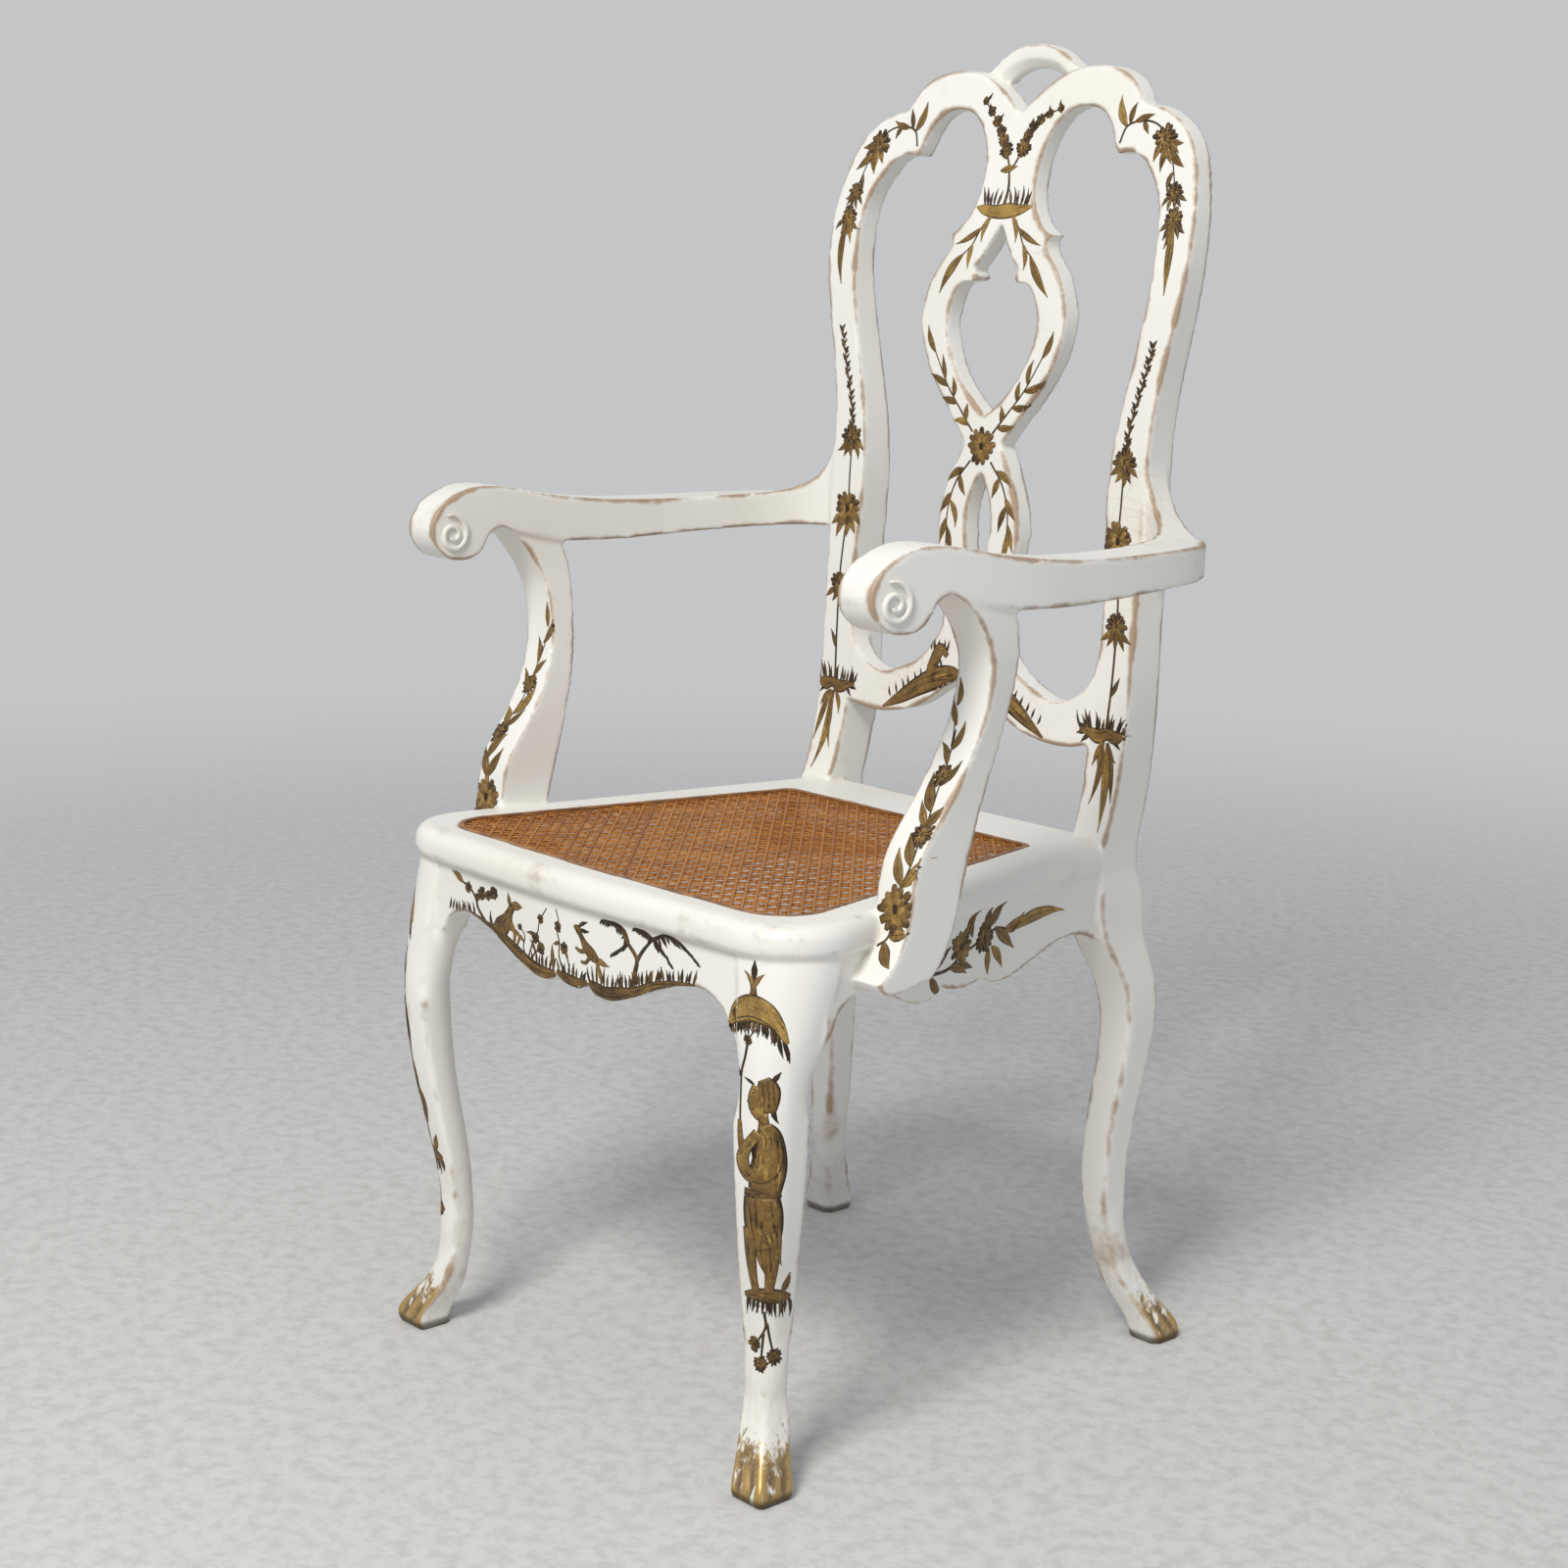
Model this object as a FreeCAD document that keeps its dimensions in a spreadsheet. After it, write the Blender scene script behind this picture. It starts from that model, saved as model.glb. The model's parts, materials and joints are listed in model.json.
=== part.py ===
import FreeCAD, Part
import math
import os

# White lacquered open armchair with a ribbon back, a caned seat and scrolled arms.
# Millimetres. +Z is up, the sitter faces -Y, +X is on the sitter's left.
# The origin lies on the floor, in the middle of the chair's width and depth.

V = FreeCAD.Vector
doc = FreeCAD.newDocument("armchair")

# Driving sizes
sizes = doc.addObject("Spreadsheet::Sheet", "sizes")
driving = [
    ("seat_height", 450),
    ("frame_thick", 26),
    ("seat_front", 262),
    ("seat_back", 166),
    ("frame_front_half", 261),
    ("frame_rear_half", 187),
    ("frame_bow", 11),
    ("frame_corner", 58),
    ("nose_top", 13),
    ("nose_under", 8),
    ("cane_front", 227),
    ("cane_rear", 120),
    ("cane_front_half", 222),
    ("cane_rear_half", 149),
    ("cane_corner", 40),
    ("cane_ledge", 14),
    ("cane_sink", 3.5),
    ("cane_thick", 1.5),
    ("spline_width", 4.5),
    ("apron_inset", 8),
    ("apron_thick", 26),
    ("apron_drop", 70),
    ("side_apron_thick", 24),
    ("rear_apron_drop", 46),
    ("wing_front", 148),
    ("wing_side", 158),
    ("wing_depth", 110),
    ("leg_lean", -16),
    ("post_inner", 150),
    ("post_outer", 187),
    ("post_depth", 46),
    ("back_half", 212),
    ("back_rise", 643),
    ("back_thick", 20),
    ("arch_half", 62),
    ("arch_rise", 40),
    ("arch_height", 20),
    ("arch_bevel", 8),
    ("arch_depth", 18),
    ("arch_proud", 7),
    ("back_rake", 72),
    ("rail_half", 146),
    ("arm_rise", 261),
    ("arm_width", 44),
    ("arm_reach", 294),
    ("support_width", 38),
    ("dowel_diameter", 8),
    ("dowel_length", 36),
    ("dowel_gap", 0.1),
    ("screw_diameter", 4),
    ("screw_head", 8),
    ("screw_length", 46),
    ("block_height", 34),
    ("flute_radius", 4.5),
    ("flute_depth", 1.8),
]
for row, (alias, value) in enumerate(driving, start=1):
    sizes.set("A%d" % row, alias)
    sizes.set("B%d" % row, str(value))
    sizes.setAlias("B%d" % row, alias)
doc.recompute()


def size(alias):
    return float(getattr(sizes, alias))


seat_top = size("seat_height")
frame_low = seat_top - size("frame_thick")


# Outline helpers

def at(point):
    return V(point[0], point[1], 0)


def spline(*points):
    curve = Part.BSplineCurve()
    curve.interpolate([at(point) for point in points])
    return curve


def line(start, end):
    return Part.LineSegment(at(start), at(end))


def arc(start, middle, end):
    return Part.Arc(at(start), at(middle), at(end))


def chain(points):
    return [line(a, b) for a, b in zip(points[:-1], points[1:])]


def rounded(corners):
    """Closed outline from (x, y, radius) corners."""
    count = len(corners)
    entries = []
    for index in range(count):
        x, y, radius = corners[index]
        before = at(corners[index - 1]) - V(x, y, 0)
        after = at(corners[(index + 1) % count]) - V(x, y, 0)
        before.normalize()
        after.normalize()
        if radius == 0:
            entries.append((V(x, y, 0), None, V(x, y, 0)))
            continue
        half = before.getAngle(after) / 2
        reach = radius / math.tan(half)
        middle = before + after
        middle.normalize()
        bulge = V(x, y, 0) + middle * (radius / math.sin(half) - radius)
        entries.append((V(x, y, 0) + before * reach, bulge, V(x, y, 0) + after * reach))
    curves = []
    for index in range(count):
        first, bulge, last = entries[index]
        if bulge is not None:
            curves.append(Part.Arc(first, bulge, last))
        curves.append(Part.LineSegment(last, entries[(index + 1) % count][0]))
    return curves


def mirrored(points):
    return [(-x, z) for x, z in reversed(points)]


# Solid helpers

def body(name):
    return doc.addObject("PartDesign::Body", name)


def drawn(solid, role, curves, rise=None):
    plane = [item for item in solid.Origin.OriginFeatures if item.Role == role][0]
    drawing = solid.newObject("Sketcher::SketchObject", solid.Name + "_outline")
    drawing.AttachmentSupport = [(plane, "")]
    drawing.MapMode = "FlatFace"
    for curve in curves:
        drawing.addGeometry(curve, False)
    if rise is not None:
        drawing.setExpression("AttachmentOffset.Base.z", rise)
    return drawing


def pad(solid, drawing, length, symmetric=False):
    item = solid.newObject("PartDesign::Pad", solid.Name + "_pad")
    item.Profile = drawing
    item.setExpression("Length", length)
    if symmetric:
        item.SideType = "Symmetric"
    solid.Tip = item
    return item


def pocket(solid, drawing, length, symmetric=False):
    item = solid.newObject("PartDesign::Pocket", solid.Name + "_pocket")
    item.Profile = drawing
    item.setExpression("Length", length)
    if symmetric:
        item.SideType = "Symmetric"
    solid.Tip = item
    return item


def rod(name, middle, along, diameter, length):
    item = doc.addObject("Part::Cylinder", name)
    item.setExpression("Radius", "(" + diameter + ") / 2")
    item.setExpression("Height", length)
    turn = FreeCAD.Rotation(V(0, 0, 1), along)
    item.Placement = FreeCAD.Placement(middle - along * (item_length(length) / 2), turn)
    return item


def item_length(expression):
    total = 0.0
    for term in expression.split("+"):
        word = term.replace("<<sizes>>.", "").strip()
        total += size(word) if word.isidentifier() else float(word)
    return total


def group(name, items):
    item = doc.addObject("Part::Compound", name)
    item.Links = items
    return item


def cut(name, base, tool):
    item = doc.addObject("Part::Cut", name)
    item.Base = base
    item.Tool = tool
    return item


def common(name, base, tool):
    item = doc.addObject("Part::Common", name)
    item.Base = base
    item.Tool = tool
    return item


def fuse(name, base, tool):
    item = doc.addObject("Part::Fuse", name)
    item.Base = base
    item.Tool = tool
    return item


def flip(name, source):
    item = doc.addObject("Part::Mirroring", name)
    item.Source = source
    item.Normal = V(1, 0, 0)
    return item


dowel = "<<sizes>>.dowel_diameter"
dowel_hole = "<<sizes>>.dowel_diameter + 2 * <<sizes>>.dowel_gap"
dowel_long = "<<sizes>>.dowel_length"
dowel_deep = "<<sizes>>.dowel_length + 2"
turned = {"x": V(1, 0, 0), "y": V(0, 1, 0), "z": V(0, 0, 1)}
pegs = []


def pegged(name, spots):
    """Dowels across joints, with the sockets that both pieces share."""
    sockets = []
    for index, (middle, along) in enumerate(spots):
        pegs.append(rod("%s_dowel_%d" % (name, index), middle, along, dowel, dowel_long))
        sockets.append(rod("%s_socket_%d" % (name, index), middle, along, dowel_hole, dowel_deep))
    return sockets


def both(spots):
    return spots + [(V(-p.x, p.y, p.z), V(-d.x, d.y, d.z)) for p, d in spots]


# Shared curves of the seat and back

def frame_side(y):
    corner = -size("seat_front") + size("frame_bow")
    run = (y - corner) / (size("seat_back") - corner)
    return size("frame_front_half") + (size("frame_rear_half") - size("frame_front_half")) * run


def apron_side(y):
    run = (y + size("seat_front")) / (size("seat_back") + size("seat_front"))
    return frame_side(y) - size("apron_inset") * (1 - 0.75 * run)


def back_x(x):
    return x * size("back_half") / 212


def back_z(z):
    return seat_top + (z - 450) * size("back_rise") / 643


def back_y(z):
    """Front face of the spoon-shaped back at a drawn height."""
    rises = [(450, 0), (520, 18), (600, 24), (750, 30), (880, 36), (950, 42), (1020, 56), (1110, 72)]
    rake = size("back_rake") / rises[-1][1]
    for (low, near), (high, far) in zip(rises[:-1], rises[1:]):
        if z <= high:
            return size("seat_back") + rake * (near + (far - near) * (z - low) / (high - low))
    return size("seat_back") + size("back_rake")


def on_back(points):
    return [(back_x(x), back_z(z)) for x, z in points]


def slab(solid, levels, thicks, foot=None):
    """Leaves only the spoon-curved slab of a back piece, as if sawn from the side."""
    for front, reach in ((True, -400), (False, 400)):
        run = [(back_y(z) + (0 if front else thick), back_z(z)) for z, thick in zip(levels, thicks)]
        low = run[0][1]
        curves = [spline(*run), line(run[-1], (reach, run[-1][1]))]
        if foot is not None:
            curves.append(line((run[0][0], foot), run[0]))
            low = foot
        curves += chain([(reach, run[-1][1]), (reach, low), (run[0][0], low)])
        pocket(solid, drawn(solid, "YZ_Plane", curves), "900", True)


# Seat frame: one nosed ring, jointed from four members
front_corner_y = -size("seat_front") + size("frame_bow")
ring = body("seat_ring")
ring_plan = rounded([
    (-frame_side(front_corner_y), front_corner_y, size("frame_corner")),
    (0, -size("seat_front") - 3.6, 2300),
    (frame_side(front_corner_y), front_corner_y, size("frame_corner")),
    (frame_side(size("seat_back")), size("seat_back"), 0),
    (size("post_inner"), size("seat_back"), 0),
    (size("post_inner"), size("seat_back") + 20, 0),
    (-size("post_inner"), size("seat_back") + 20, 0),
    (-size("post_inner"), size("seat_back"), 0),
    (-frame_side(size("seat_back")), size("seat_back"), 0),
])
ring_pad = pad(ring, drawn(ring, "XY_Plane", ring_plan, "<<sizes>>.seat_height - <<sizes>>.frame_thick"),
               "<<sizes>>.frame_thick")
doc.recompute()


def outer_edges(shape, level):
    found = []
    for index, edge in enumerate(shape.Edges, start=1):
        ends = [vertex.Point for vertex in edge.Vertexes]
        flat = all(abs(end.z - level) < 0.01 for end in ends)
        ahead = min(end.y for end in ends) < size("seat_back") - 1
        if flat and ahead:
            found.append("Edge%d" % index)
    return found


nose = ring.newObject("PartDesign::Fillet", "seat_ring_nose")
nose.Base = (ring_pad, outer_edges(ring_pad.Shape, seat_top))
nose.setExpression("Radius", "<<sizes>>.nose_top")
doc.recompute()
under = ring.newObject("PartDesign::Fillet", "seat_ring_under")
under.Base = (nose, outer_edges(nose.Shape, frame_low))
under.setExpression("Radius", "<<sizes>>.nose_under")
ring.Tip = under
doc.recompute()


def cane_plan(inset):
    slope = (size("cane_front_half") - size("cane_rear_half")) / (size("cane_front") + size("cane_rear"))
    front = size("cane_front") - inset
    rear = size("cane_rear") - inset
    front_half = size("cane_front_half") - inset * (1.02 + slope)
    rear_half = size("cane_rear_half") - inset * (1.02 - slope)
    corner = max(size("cane_corner") - inset, 6)
    return rounded([
        (-front_half, -front, corner),
        (0, -front - 6, 1500),
        (front_half, -front, corner),
        (rear_half, rear, 10),
        (-rear_half, rear, 10),
    ])


pocket(ring, drawn(ring, "XY_Plane", cane_plan(size("cane_ledge")), "<<sizes>>.seat_height"),
       "<<sizes>>.frame_thick + 10")
pocket(ring, drawn(ring, "XY_Plane", cane_plan(0), "<<sizes>>.seat_height"), "<<sizes>>.cane_sink")

# Woven cane panel and the reed spline that locks it into the rebate
cane = body("cane_panel")
pad(cane, drawn(cane, "XY_Plane", cane_plan(0.3), "<<sizes>>.seat_height - <<sizes>>.cane_sink"),
    "<<sizes>>.cane_thick")
reed = body("cane_spline")
reed_low = "<<sizes>>.seat_height - <<sizes>>.cane_sink + <<sizes>>.cane_thick"
pad(reed, drawn(reed, "XY_Plane", cane_plan(0.3), reed_low), "<<sizes>>.cane_sink - <<sizes>>.cane_thick")
pocket(reed, drawn(reed, "XY_Plane", cane_plan(size("spline_width")), "<<sizes>>.seat_height"), "20")


def prism(name, points, low, height):
    item = body(name)
    pad(item, drawn(item, "XY_Plane", chain(points + points[:1]), low), height)
    return item


# Mitred front corners, butted rear corners
mitre_out = (frame_side(front_corner_y) + 38, front_corner_y - 23)
mitre_in = (size("cane_front_half") - 40, -size("cane_front") + 24)
rear_in = (size("cane_rear_half") - size("cane_ledge") - 12, size("cane_rear") - 24)
front_zone = [(-mitre_out[0], mitre_out[1]), mitre_out, mitre_in, (-mitre_in[0], mitre_in[1])]
rear_zone = [(-size("post_inner"), rear_in[1]), (size("post_inner"), rear_in[1])]
rear_zone += [(size("post_inner"), 300), (-size("post_inner"), 300)]
side_zone = [mitre_in, mitre_out, (420, mitre_out[1]), (420, 300), (size("post_inner"), 300)]
side_zone += [(size("post_inner"), rear_in[1]), rear_in]
mitre_mid = V(frame_side(front_corner_y) - 32, front_corner_y + 20, seat_top - size("frame_thick") / 2)
mitre_way = V(0.52, 0.854, 0)
butt_mid = V(size("post_inner"), size("seat_back") - 18, seat_top - size("frame_thick") / 2)
frame_holes = []
for index, (middle, along) in enumerate(both([(mitre_mid, mitre_way), (butt_mid, turned["x"])])):
    pegs.append(rod("frame_dowel_%d" % index, middle, along, dowel, "24"))
    frame_holes.append(rod("frame_socket_%d" % index, middle, along, dowel_hole, "26"))

# Diagonal corner blocks, screwed up into the seat frame
block_low = frame_low - size("block_height")
front_inner = -size("seat_front") + size("apron_inset") + size("apron_thick") + 6
rear_apron_front = size("seat_back") + 10


def apron_inside(y):
    return apron_side(y) - size("side_apron_thick") * 1.013


front_block_plan = [(92, front_inner), (136, front_inner)]
front_block_plan += [(apron_inside(-152), -152), (apron_inside(-108), -108)]
rear_block_plan = [(apron_inside(96), 96), (apron_inside(136), 136)]
rear_block_plan += [(size("post_inner") - 12, rear_apron_front), (86, rear_apron_front)]
screw_spots = []
for plan in (front_block_plan, rear_block_plan):
    near = [(plan[0][axis] + plan[1][axis]) / 2 for axis in (0, 1)]
    far = [(plan[2][axis] + plan[3][axis]) / 2 for axis in (0, 1)]
    for share in (0.3, 0.7):
        screw_spots.append(tuple(a * (1 - share) + b * share for a, b in zip(near, far)))
screw_spots += [(-x, y) for x, y in screw_spots]


def screw(name, point, along):
    """Countersunk wood screw, its head at the given point."""
    shank = doc.addObject("Part::Cylinder", name + "_shank")
    shank.setExpression("Radius", "<<sizes>>.screw_diameter / 2")
    shank.setExpression("Height", "<<sizes>>.screw_length")
    head = doc.addObject("Part::Cone", name + "_head")
    head.setExpression("Radius1", "<<sizes>>.screw_head / 2")
    head.setExpression("Radius2", "<<sizes>>.screw_diameter / 2")
    head.setExpression("Height", "<<sizes>>.screw_head / 3")
    turn = FreeCAD.Rotation(V(0, 0, 1), along)
    shank.Placement = FreeCAD.Placement(point, turn)
    head.Placement = FreeCAD.Placement(point, turn)
    return fuse(name, shank, head)


block_screws = []
for index, (x, y) in enumerate(screw_spots):
    block_screws.append(screw("block_screw_%d" % index, V(x, y, block_low), V(0, 0, 1)))
block_screw_set = group("block_screw_set", block_screws)
frame_cutters = group("frame_cutters", frame_holes)
ring_drilled = cut("seat_ring_drilled", cut("seat_ring_pegged", ring, frame_cutters), block_screw_set)
seat_frame_front = common("seat_frame_front", ring_drilled, prism("front_zone", front_zone, "0", "900"))
seat_frame_rear = common("seat_frame_rear", ring_drilled, prism("rear_zone", rear_zone, "0", "900"))
seat_frame_right = common("seat_frame_right", ring_drilled, prism("side_zone", side_zone, "0", "900"))
side_zone_left = [(-x, y) for x, y in reversed(side_zone)]
left_zone = prism("side_zone_left", side_zone_left, "0", "900")
seat_frame_left = common("seat_frame_left", ring_drilled, left_zone)
block_rise = "<<sizes>>.seat_height - <<sizes>>.frame_thick - <<sizes>>.block_height"
front_block = cut("corner_block_front_right", prism("front_block", front_block_plan, block_rise,
                  "<<sizes>>.block_height"), block_screw_set)
rear_block = cut("corner_block_rear_right", prism("rear_block", rear_block_plan, block_rise,
                 "<<sizes>>.block_height"), block_screw_set)
front_block_left = flip("corner_block_front_left", front_block)
rear_block_left = flip("corner_block_rear_left", rear_block)


# Front apron with its three-lobed lower edge
def low_z(z):
    """Heights drawn for a 424 mm frame underside, moved with the seat."""
    return frame_low - (424 - z) * size("apron_drop") / 70


wing_x = size("wing_front")
front_face = -size("seat_front") + size("apron_inset")
front_end = front_face + size("frame_bow") * wing_x / size("frame_front_half")
front_apron = body("front_apron_blank")
pad(front_apron, drawn(front_apron, "XY_Plane", rounded([
    (-wing_x, front_end, 0), (0, front_face - 1, 2300), (wing_x, front_end, 0),
    (wing_x, front_inner, 0), (-wing_x, front_inner, 0),
]), "<<sizes>>.seat_height - <<sizes>>.frame_thick - 90"), "90")
lobe_run = [(20, low_z(362)), (29, low_z(356)), (41, low_z(354)), (56, low_z(357)), (95, low_z(373))]
lobe_run += [(125, low_z(384)), (wing_x, low_z(387))]
lobe_edge = [spline(*mirrored(lobe_run)), arc((-20, low_z(362)), (0, low_z(356)), (20, low_z(362)))]
lobe_edge += [spline(*lobe_run)]
lobe_edge += chain([lobe_run[-1], (wing_x + 10, low_z(387)), (wing_x + 10, low_z(300)),
                    (-wing_x - 10, low_z(300)), (-wing_x - 10, low_z(387)), (-wing_x, low_z(387))])
pocket(front_apron, drawn(front_apron, "XZ_Plane", lobe_edge), "1200", True)

# Side apron: scalloped in the middle, arched into both legs
wing_y = -size("wing_side")
rear_y = size("seat_back")
side_apron = body("side_apron_blank")
pad(side_apron, drawn(side_apron, "XY_Plane", chain([
    (apron_side(wing_y), wing_y), (apron_side(rear_y), rear_y), (apron_inside(rear_y), rear_y),
    (apron_inside(wing_y), wing_y), (apron_side(wing_y), wing_y),
]), "<<sizes>>.seat_height - <<sizes>>.frame_thick - 90"), "90")
side_edge = [spline((wing_y, low_z(389)), (-132, low_z(382)), (-106, low_z(370)), (-86, low_z(365)),
                    (-70, low_z(367)), (-60, low_z(373)))]
side_edge += [arc((-60, low_z(373)), (-32, low_z(366)), (-5, low_z(370)))]
side_edge += [spline((-5, low_z(370)), (8, low_z(363)), (22, low_z(361)), (52, low_z(365)),
                     (86, low_z(374)), (118, low_z(379)), (143, low_z(376)), (rear_y, low_z(367)))]
side_edge += chain([(rear_y, low_z(367)), (rear_y + 10, low_z(367)), (rear_y + 10, low_z(300)),
                    (wing_y - 10, low_z(300)), (wing_y - 10, low_z(389)), (wing_y, low_z(389))])
pocket(side_apron, drawn(side_apron, "YZ_Plane", side_edge), "1200", True)

# Rear apron between the two posts
post_in = size("post_inner")
rear_apron = body("rear_apron_blank")
rear_rise = "<<sizes>>.seat_height - <<sizes>>.frame_thick - <<sizes>>.rear_apron_drop"
pad(rear_apron, drawn(rear_apron, "XY_Plane", chain([
    (-post_in, rear_apron_front), (post_in, rear_apron_front), (post_in, rear_apron_front + 22),
    (-post_in, rear_apron_front + 22), (-post_in, rear_apron_front),
]), rear_rise), "<<sizes>>.rear_apron_drop")
rear_low = frame_low - size("rear_apron_drop")
rear_edge = [arc((-post_in + 16, rear_low), (0, rear_low + 12), (post_in - 16, rear_low))]
rear_edge += [line((post_in - 16, rear_low), (-post_in + 16, rear_low))]
pocket(rear_apron, drawn(rear_apron, "XZ_Plane", rear_edge), "1200", True)


# Cabriole legs
def section(name, z, x, y, wide, deep, radii):
    """Leg section with its own radius at each of the four corners."""
    drawing = doc.addObject("Sketcher::SketchObject", name)
    half_w = wide / 2
    half_d = deep / 2
    spots = [(-half_w, -half_d), (half_w, -half_d), (half_w, half_d), (-half_w, half_d)]
    for curve in rounded([(spot[0], spot[1], radius) for spot, radius in zip(spots, radii)]):
        drawing.addGeometry(curve, False)
    drawing.Placement = FreeCAD.Placement(V(x, y, z), FreeCAD.Rotation())
    return drawing


def fluted(name, toe, instep, halves, faces):
    """Round cutters for two flutes on each outward face of a foot."""
    found = []
    for face_index, face in enumerate(faces):
        across = V(abs(face.y), abs(face.x), 0)
        for index, share in enumerate((-0.4, 0.4)):
            low = toe + face * halves[0] + across * (share * halves[0])
            high = instep + face * halves[1] + across * (share * halves[1])
            way = high - low
            way.normalize()
            out = face - way * face.dot(way)
            out.normalize()
            item = doc.addObject("Part::Cylinder", "%s_%d_%d" % (name, face_index, index))
            item.setExpression("Radius", "<<sizes>>.flute_radius")
            item.Height = 110
            base = low + out * (size("flute_radius") - size("flute_depth")) - way * 30
            item.Placement = FreeCAD.Placement(base, FreeCAD.Rotation(V(0, 0, 1), way))
            found.append(item)
    return group(name, found)


leg_scale = seat_top / 450
drawn_front_half = 261
leg_shift = size("frame_front_half") - drawn_front_half


def front_middle(distance, share):
    """Middle of a front leg section on the diagonal, with its lean and the frame corner's own shift."""
    drawn_out = distance / math.sqrt(2)
    lean = size("leg_lean") * share / 2
    return V(drawn_out + lean + leg_shift, lean - drawn_out, 0)


# Height, distance along the diagonal, share of the lean, width and the toe, side and inner radii
front_run = [
    (0, 322.2, 1, 34.9, 5, 4, 12), (9, 325, 1, 36, 4, 4, 8), (28, 314.3, 1, 32.8, 5, 4, 8),
    (60, 298.9, 1, 29.2, 12, 4, 19), (100, 295, 1, 27.8, 13, 4, 19), (140, 297.1, 1, 31, 15, 4, 22),
    (200, 307.8, 1, 37.2, 19, 5, 29), (260, 317.6, 1, 41.5, 22, 5, 31), (310, 320.6, 0.94, 44.6, 26, 5, 34),
    (350, 317.9, 0.7, 48.2, 32, 5, 39), (390, 312.9, 0.32, 54, 42, 5, 44), (424, 305.5, 0.06, 60, 48, 5, 48),
]
front_sections = []
for index, (z, distance, share, wide, toe, side, inner) in enumerate(front_run):
    middle = front_middle(distance, share)
    level = frame_low if index == len(front_run) - 1 else z * leg_scale
    front_sections.append(section("front_leg_section_%d" % index, level, middle.x, middle.y, wide, wide,
                                  (side, toe, side, inner)))
front_shaft = doc.addObject("Part::Loft", "front_leg_shaft")
front_shaft.Sections = front_sections
front_shaft.Solid = True


# Two wings carry the apron lines round the corner into the knee
def front_plane(x):
    return front_face + size("frame_bow") * x / size("frame_front_half")


wing_rise = "<<sizes>>.seat_height - <<sizes>>.frame_thick - <<sizes>>.wing_depth"
arch_low = frame_low - size("wing_depth") - 5
wing_tip = wing_x + 66 + leg_shift
front_wing = body("front_wing")
pad(front_wing, drawn(front_wing, "XY_Plane", chain([
    (wing_x, front_plane(wing_x)), (wing_tip, front_plane(wing_tip)), (wing_tip, front_inner),
    (wing_x, front_inner), (wing_x, front_plane(wing_x)),
]), wing_rise), "<<sizes>>.wing_depth")
wing_run = [(160, low_z(385)), (170, low_z(380)), (178, low_z(372)), (183, low_z(359)), (188, low_z(345)),
            (200, arch_low)]
wing_run = [(wing_x, low_z(387))] + [(x + leg_shift, z) for x, z in wing_run]
wing_arch = [spline(*wing_run)]
wing_arch += chain([wing_run[-1], (wing_x - 20, arch_low), (wing_x - 20, low_z(387)), wing_run[0]])
pocket(front_wing, drawn(front_wing, "XZ_Plane", wing_arch), "1200", True)
flank_tip = wing_y - 48
side_wing = body("side_wing")
pad(side_wing, drawn(side_wing, "XY_Plane", chain([
    (apron_side(wing_y), wing_y), (apron_inside(wing_y), wing_y), (apron_inside(flank_tip), flank_tip),
    (apron_side(flank_tip), flank_tip), (apron_side(wing_y), wing_y),
]), wing_rise), "<<sizes>>.wing_depth")
flank_arch = [spline((wing_y, low_z(389)), (-172, low_z(388.5)), (-184, low_z(385)), (-194, low_z(376)),
                     (-200, low_z(362)), (-205, low_z(343)), (-214, arch_low))]
flank_arch += chain([(-214, arch_low), (wing_y + 40, arch_low), (wing_y + 40, low_z(389)),
                     (wing_y, low_z(389))])
pocket(side_wing, drawn(side_wing, "YZ_Plane", flank_arch), "1200", True)

# Carved flutes run up the two outward faces of each foot
front_toe = front_middle(325, 1) + V(0, 0, 9 * leg_scale)
front_instep = front_middle(298.9, 1) + V(0, 0, 60 * leg_scale)
front_flutes = fluted("front_flutes", front_toe, front_instep, (18, 14.6), (V(1, 0, 0), V(0, -1, 0)))
front_leg_winged = fuse("front_leg_winged", fuse("front_leg_half_winged", front_shaft, front_wing), side_wing)
front_leg_blank = cut("front_leg_carved", front_leg_winged, front_flutes)

# Rear post: leg below the seat, ribbon stile above it, sawn from one plank
rear_sections = []
post_mid_x = (size("post_inner") + size("post_outer")) / 2
post_mid_y = size("seat_back") + size("post_depth") / 2
post_wide = size("post_outer") - size("post_inner")
rear_run = [
    (0, 209, 241, 35, 35, 9), (9, 208.5, 240.5, 37, 37, 9), (30, 199.5, 231, 33, 33, 7),
    (60, 185.5, 217, 29, 29, 5), (96, 177, 208, 27.5, 27.5, 4), (137, 173.3, 204.7, 29.5, 29.5, 4),
    (175, 174, 205.4, 31, 31, 4), (210, 176.5, 208, 32.5, 32.5, 4), (254, 181, 212, 34, 34, 4),
    (295, 183.5, 213.5, 37, 37, 4), (335, 180, 206, 40, 43, 4), (368, 173.5, 194, 41, 51, 4),
]
for index, (z, x, y, wide, deep, radius) in enumerate(rear_run):
    rear_sections.append(section("rear_leg_section_%d" % index, z * leg_scale, x, y, wide, deep,
                                 [radius] * 4))
rear_sections.append(section("rear_leg_section_top", frame_low, post_mid_x, post_mid_y, post_wide,
                             size("post_depth"), [4] * 4))
rear_shaft = doc.addObject("Part::Loft", "rear_leg_shaft")
rear_shaft.Sections = rear_sections
rear_shaft.Solid = True
outer_x = size("post_outer")
stile_out = [(outer_x, back_z(776))]
stile_out += on_back([(190, 812), (204, 883), (212, 945), (206, 997), (190, 1034), (163, 1054), (136, 1060)])
shoulder = on_back([(117, 1019), (129, 1021), (142, 1017), (155, 1005), (167, 987), (173, 968), (175, 945),
                    (173, 905), (167, 872), (157, 825), (149, 785), (146, 755), (147, 700), (151, 640),
                    (150, 610), (146, 588)])
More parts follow.
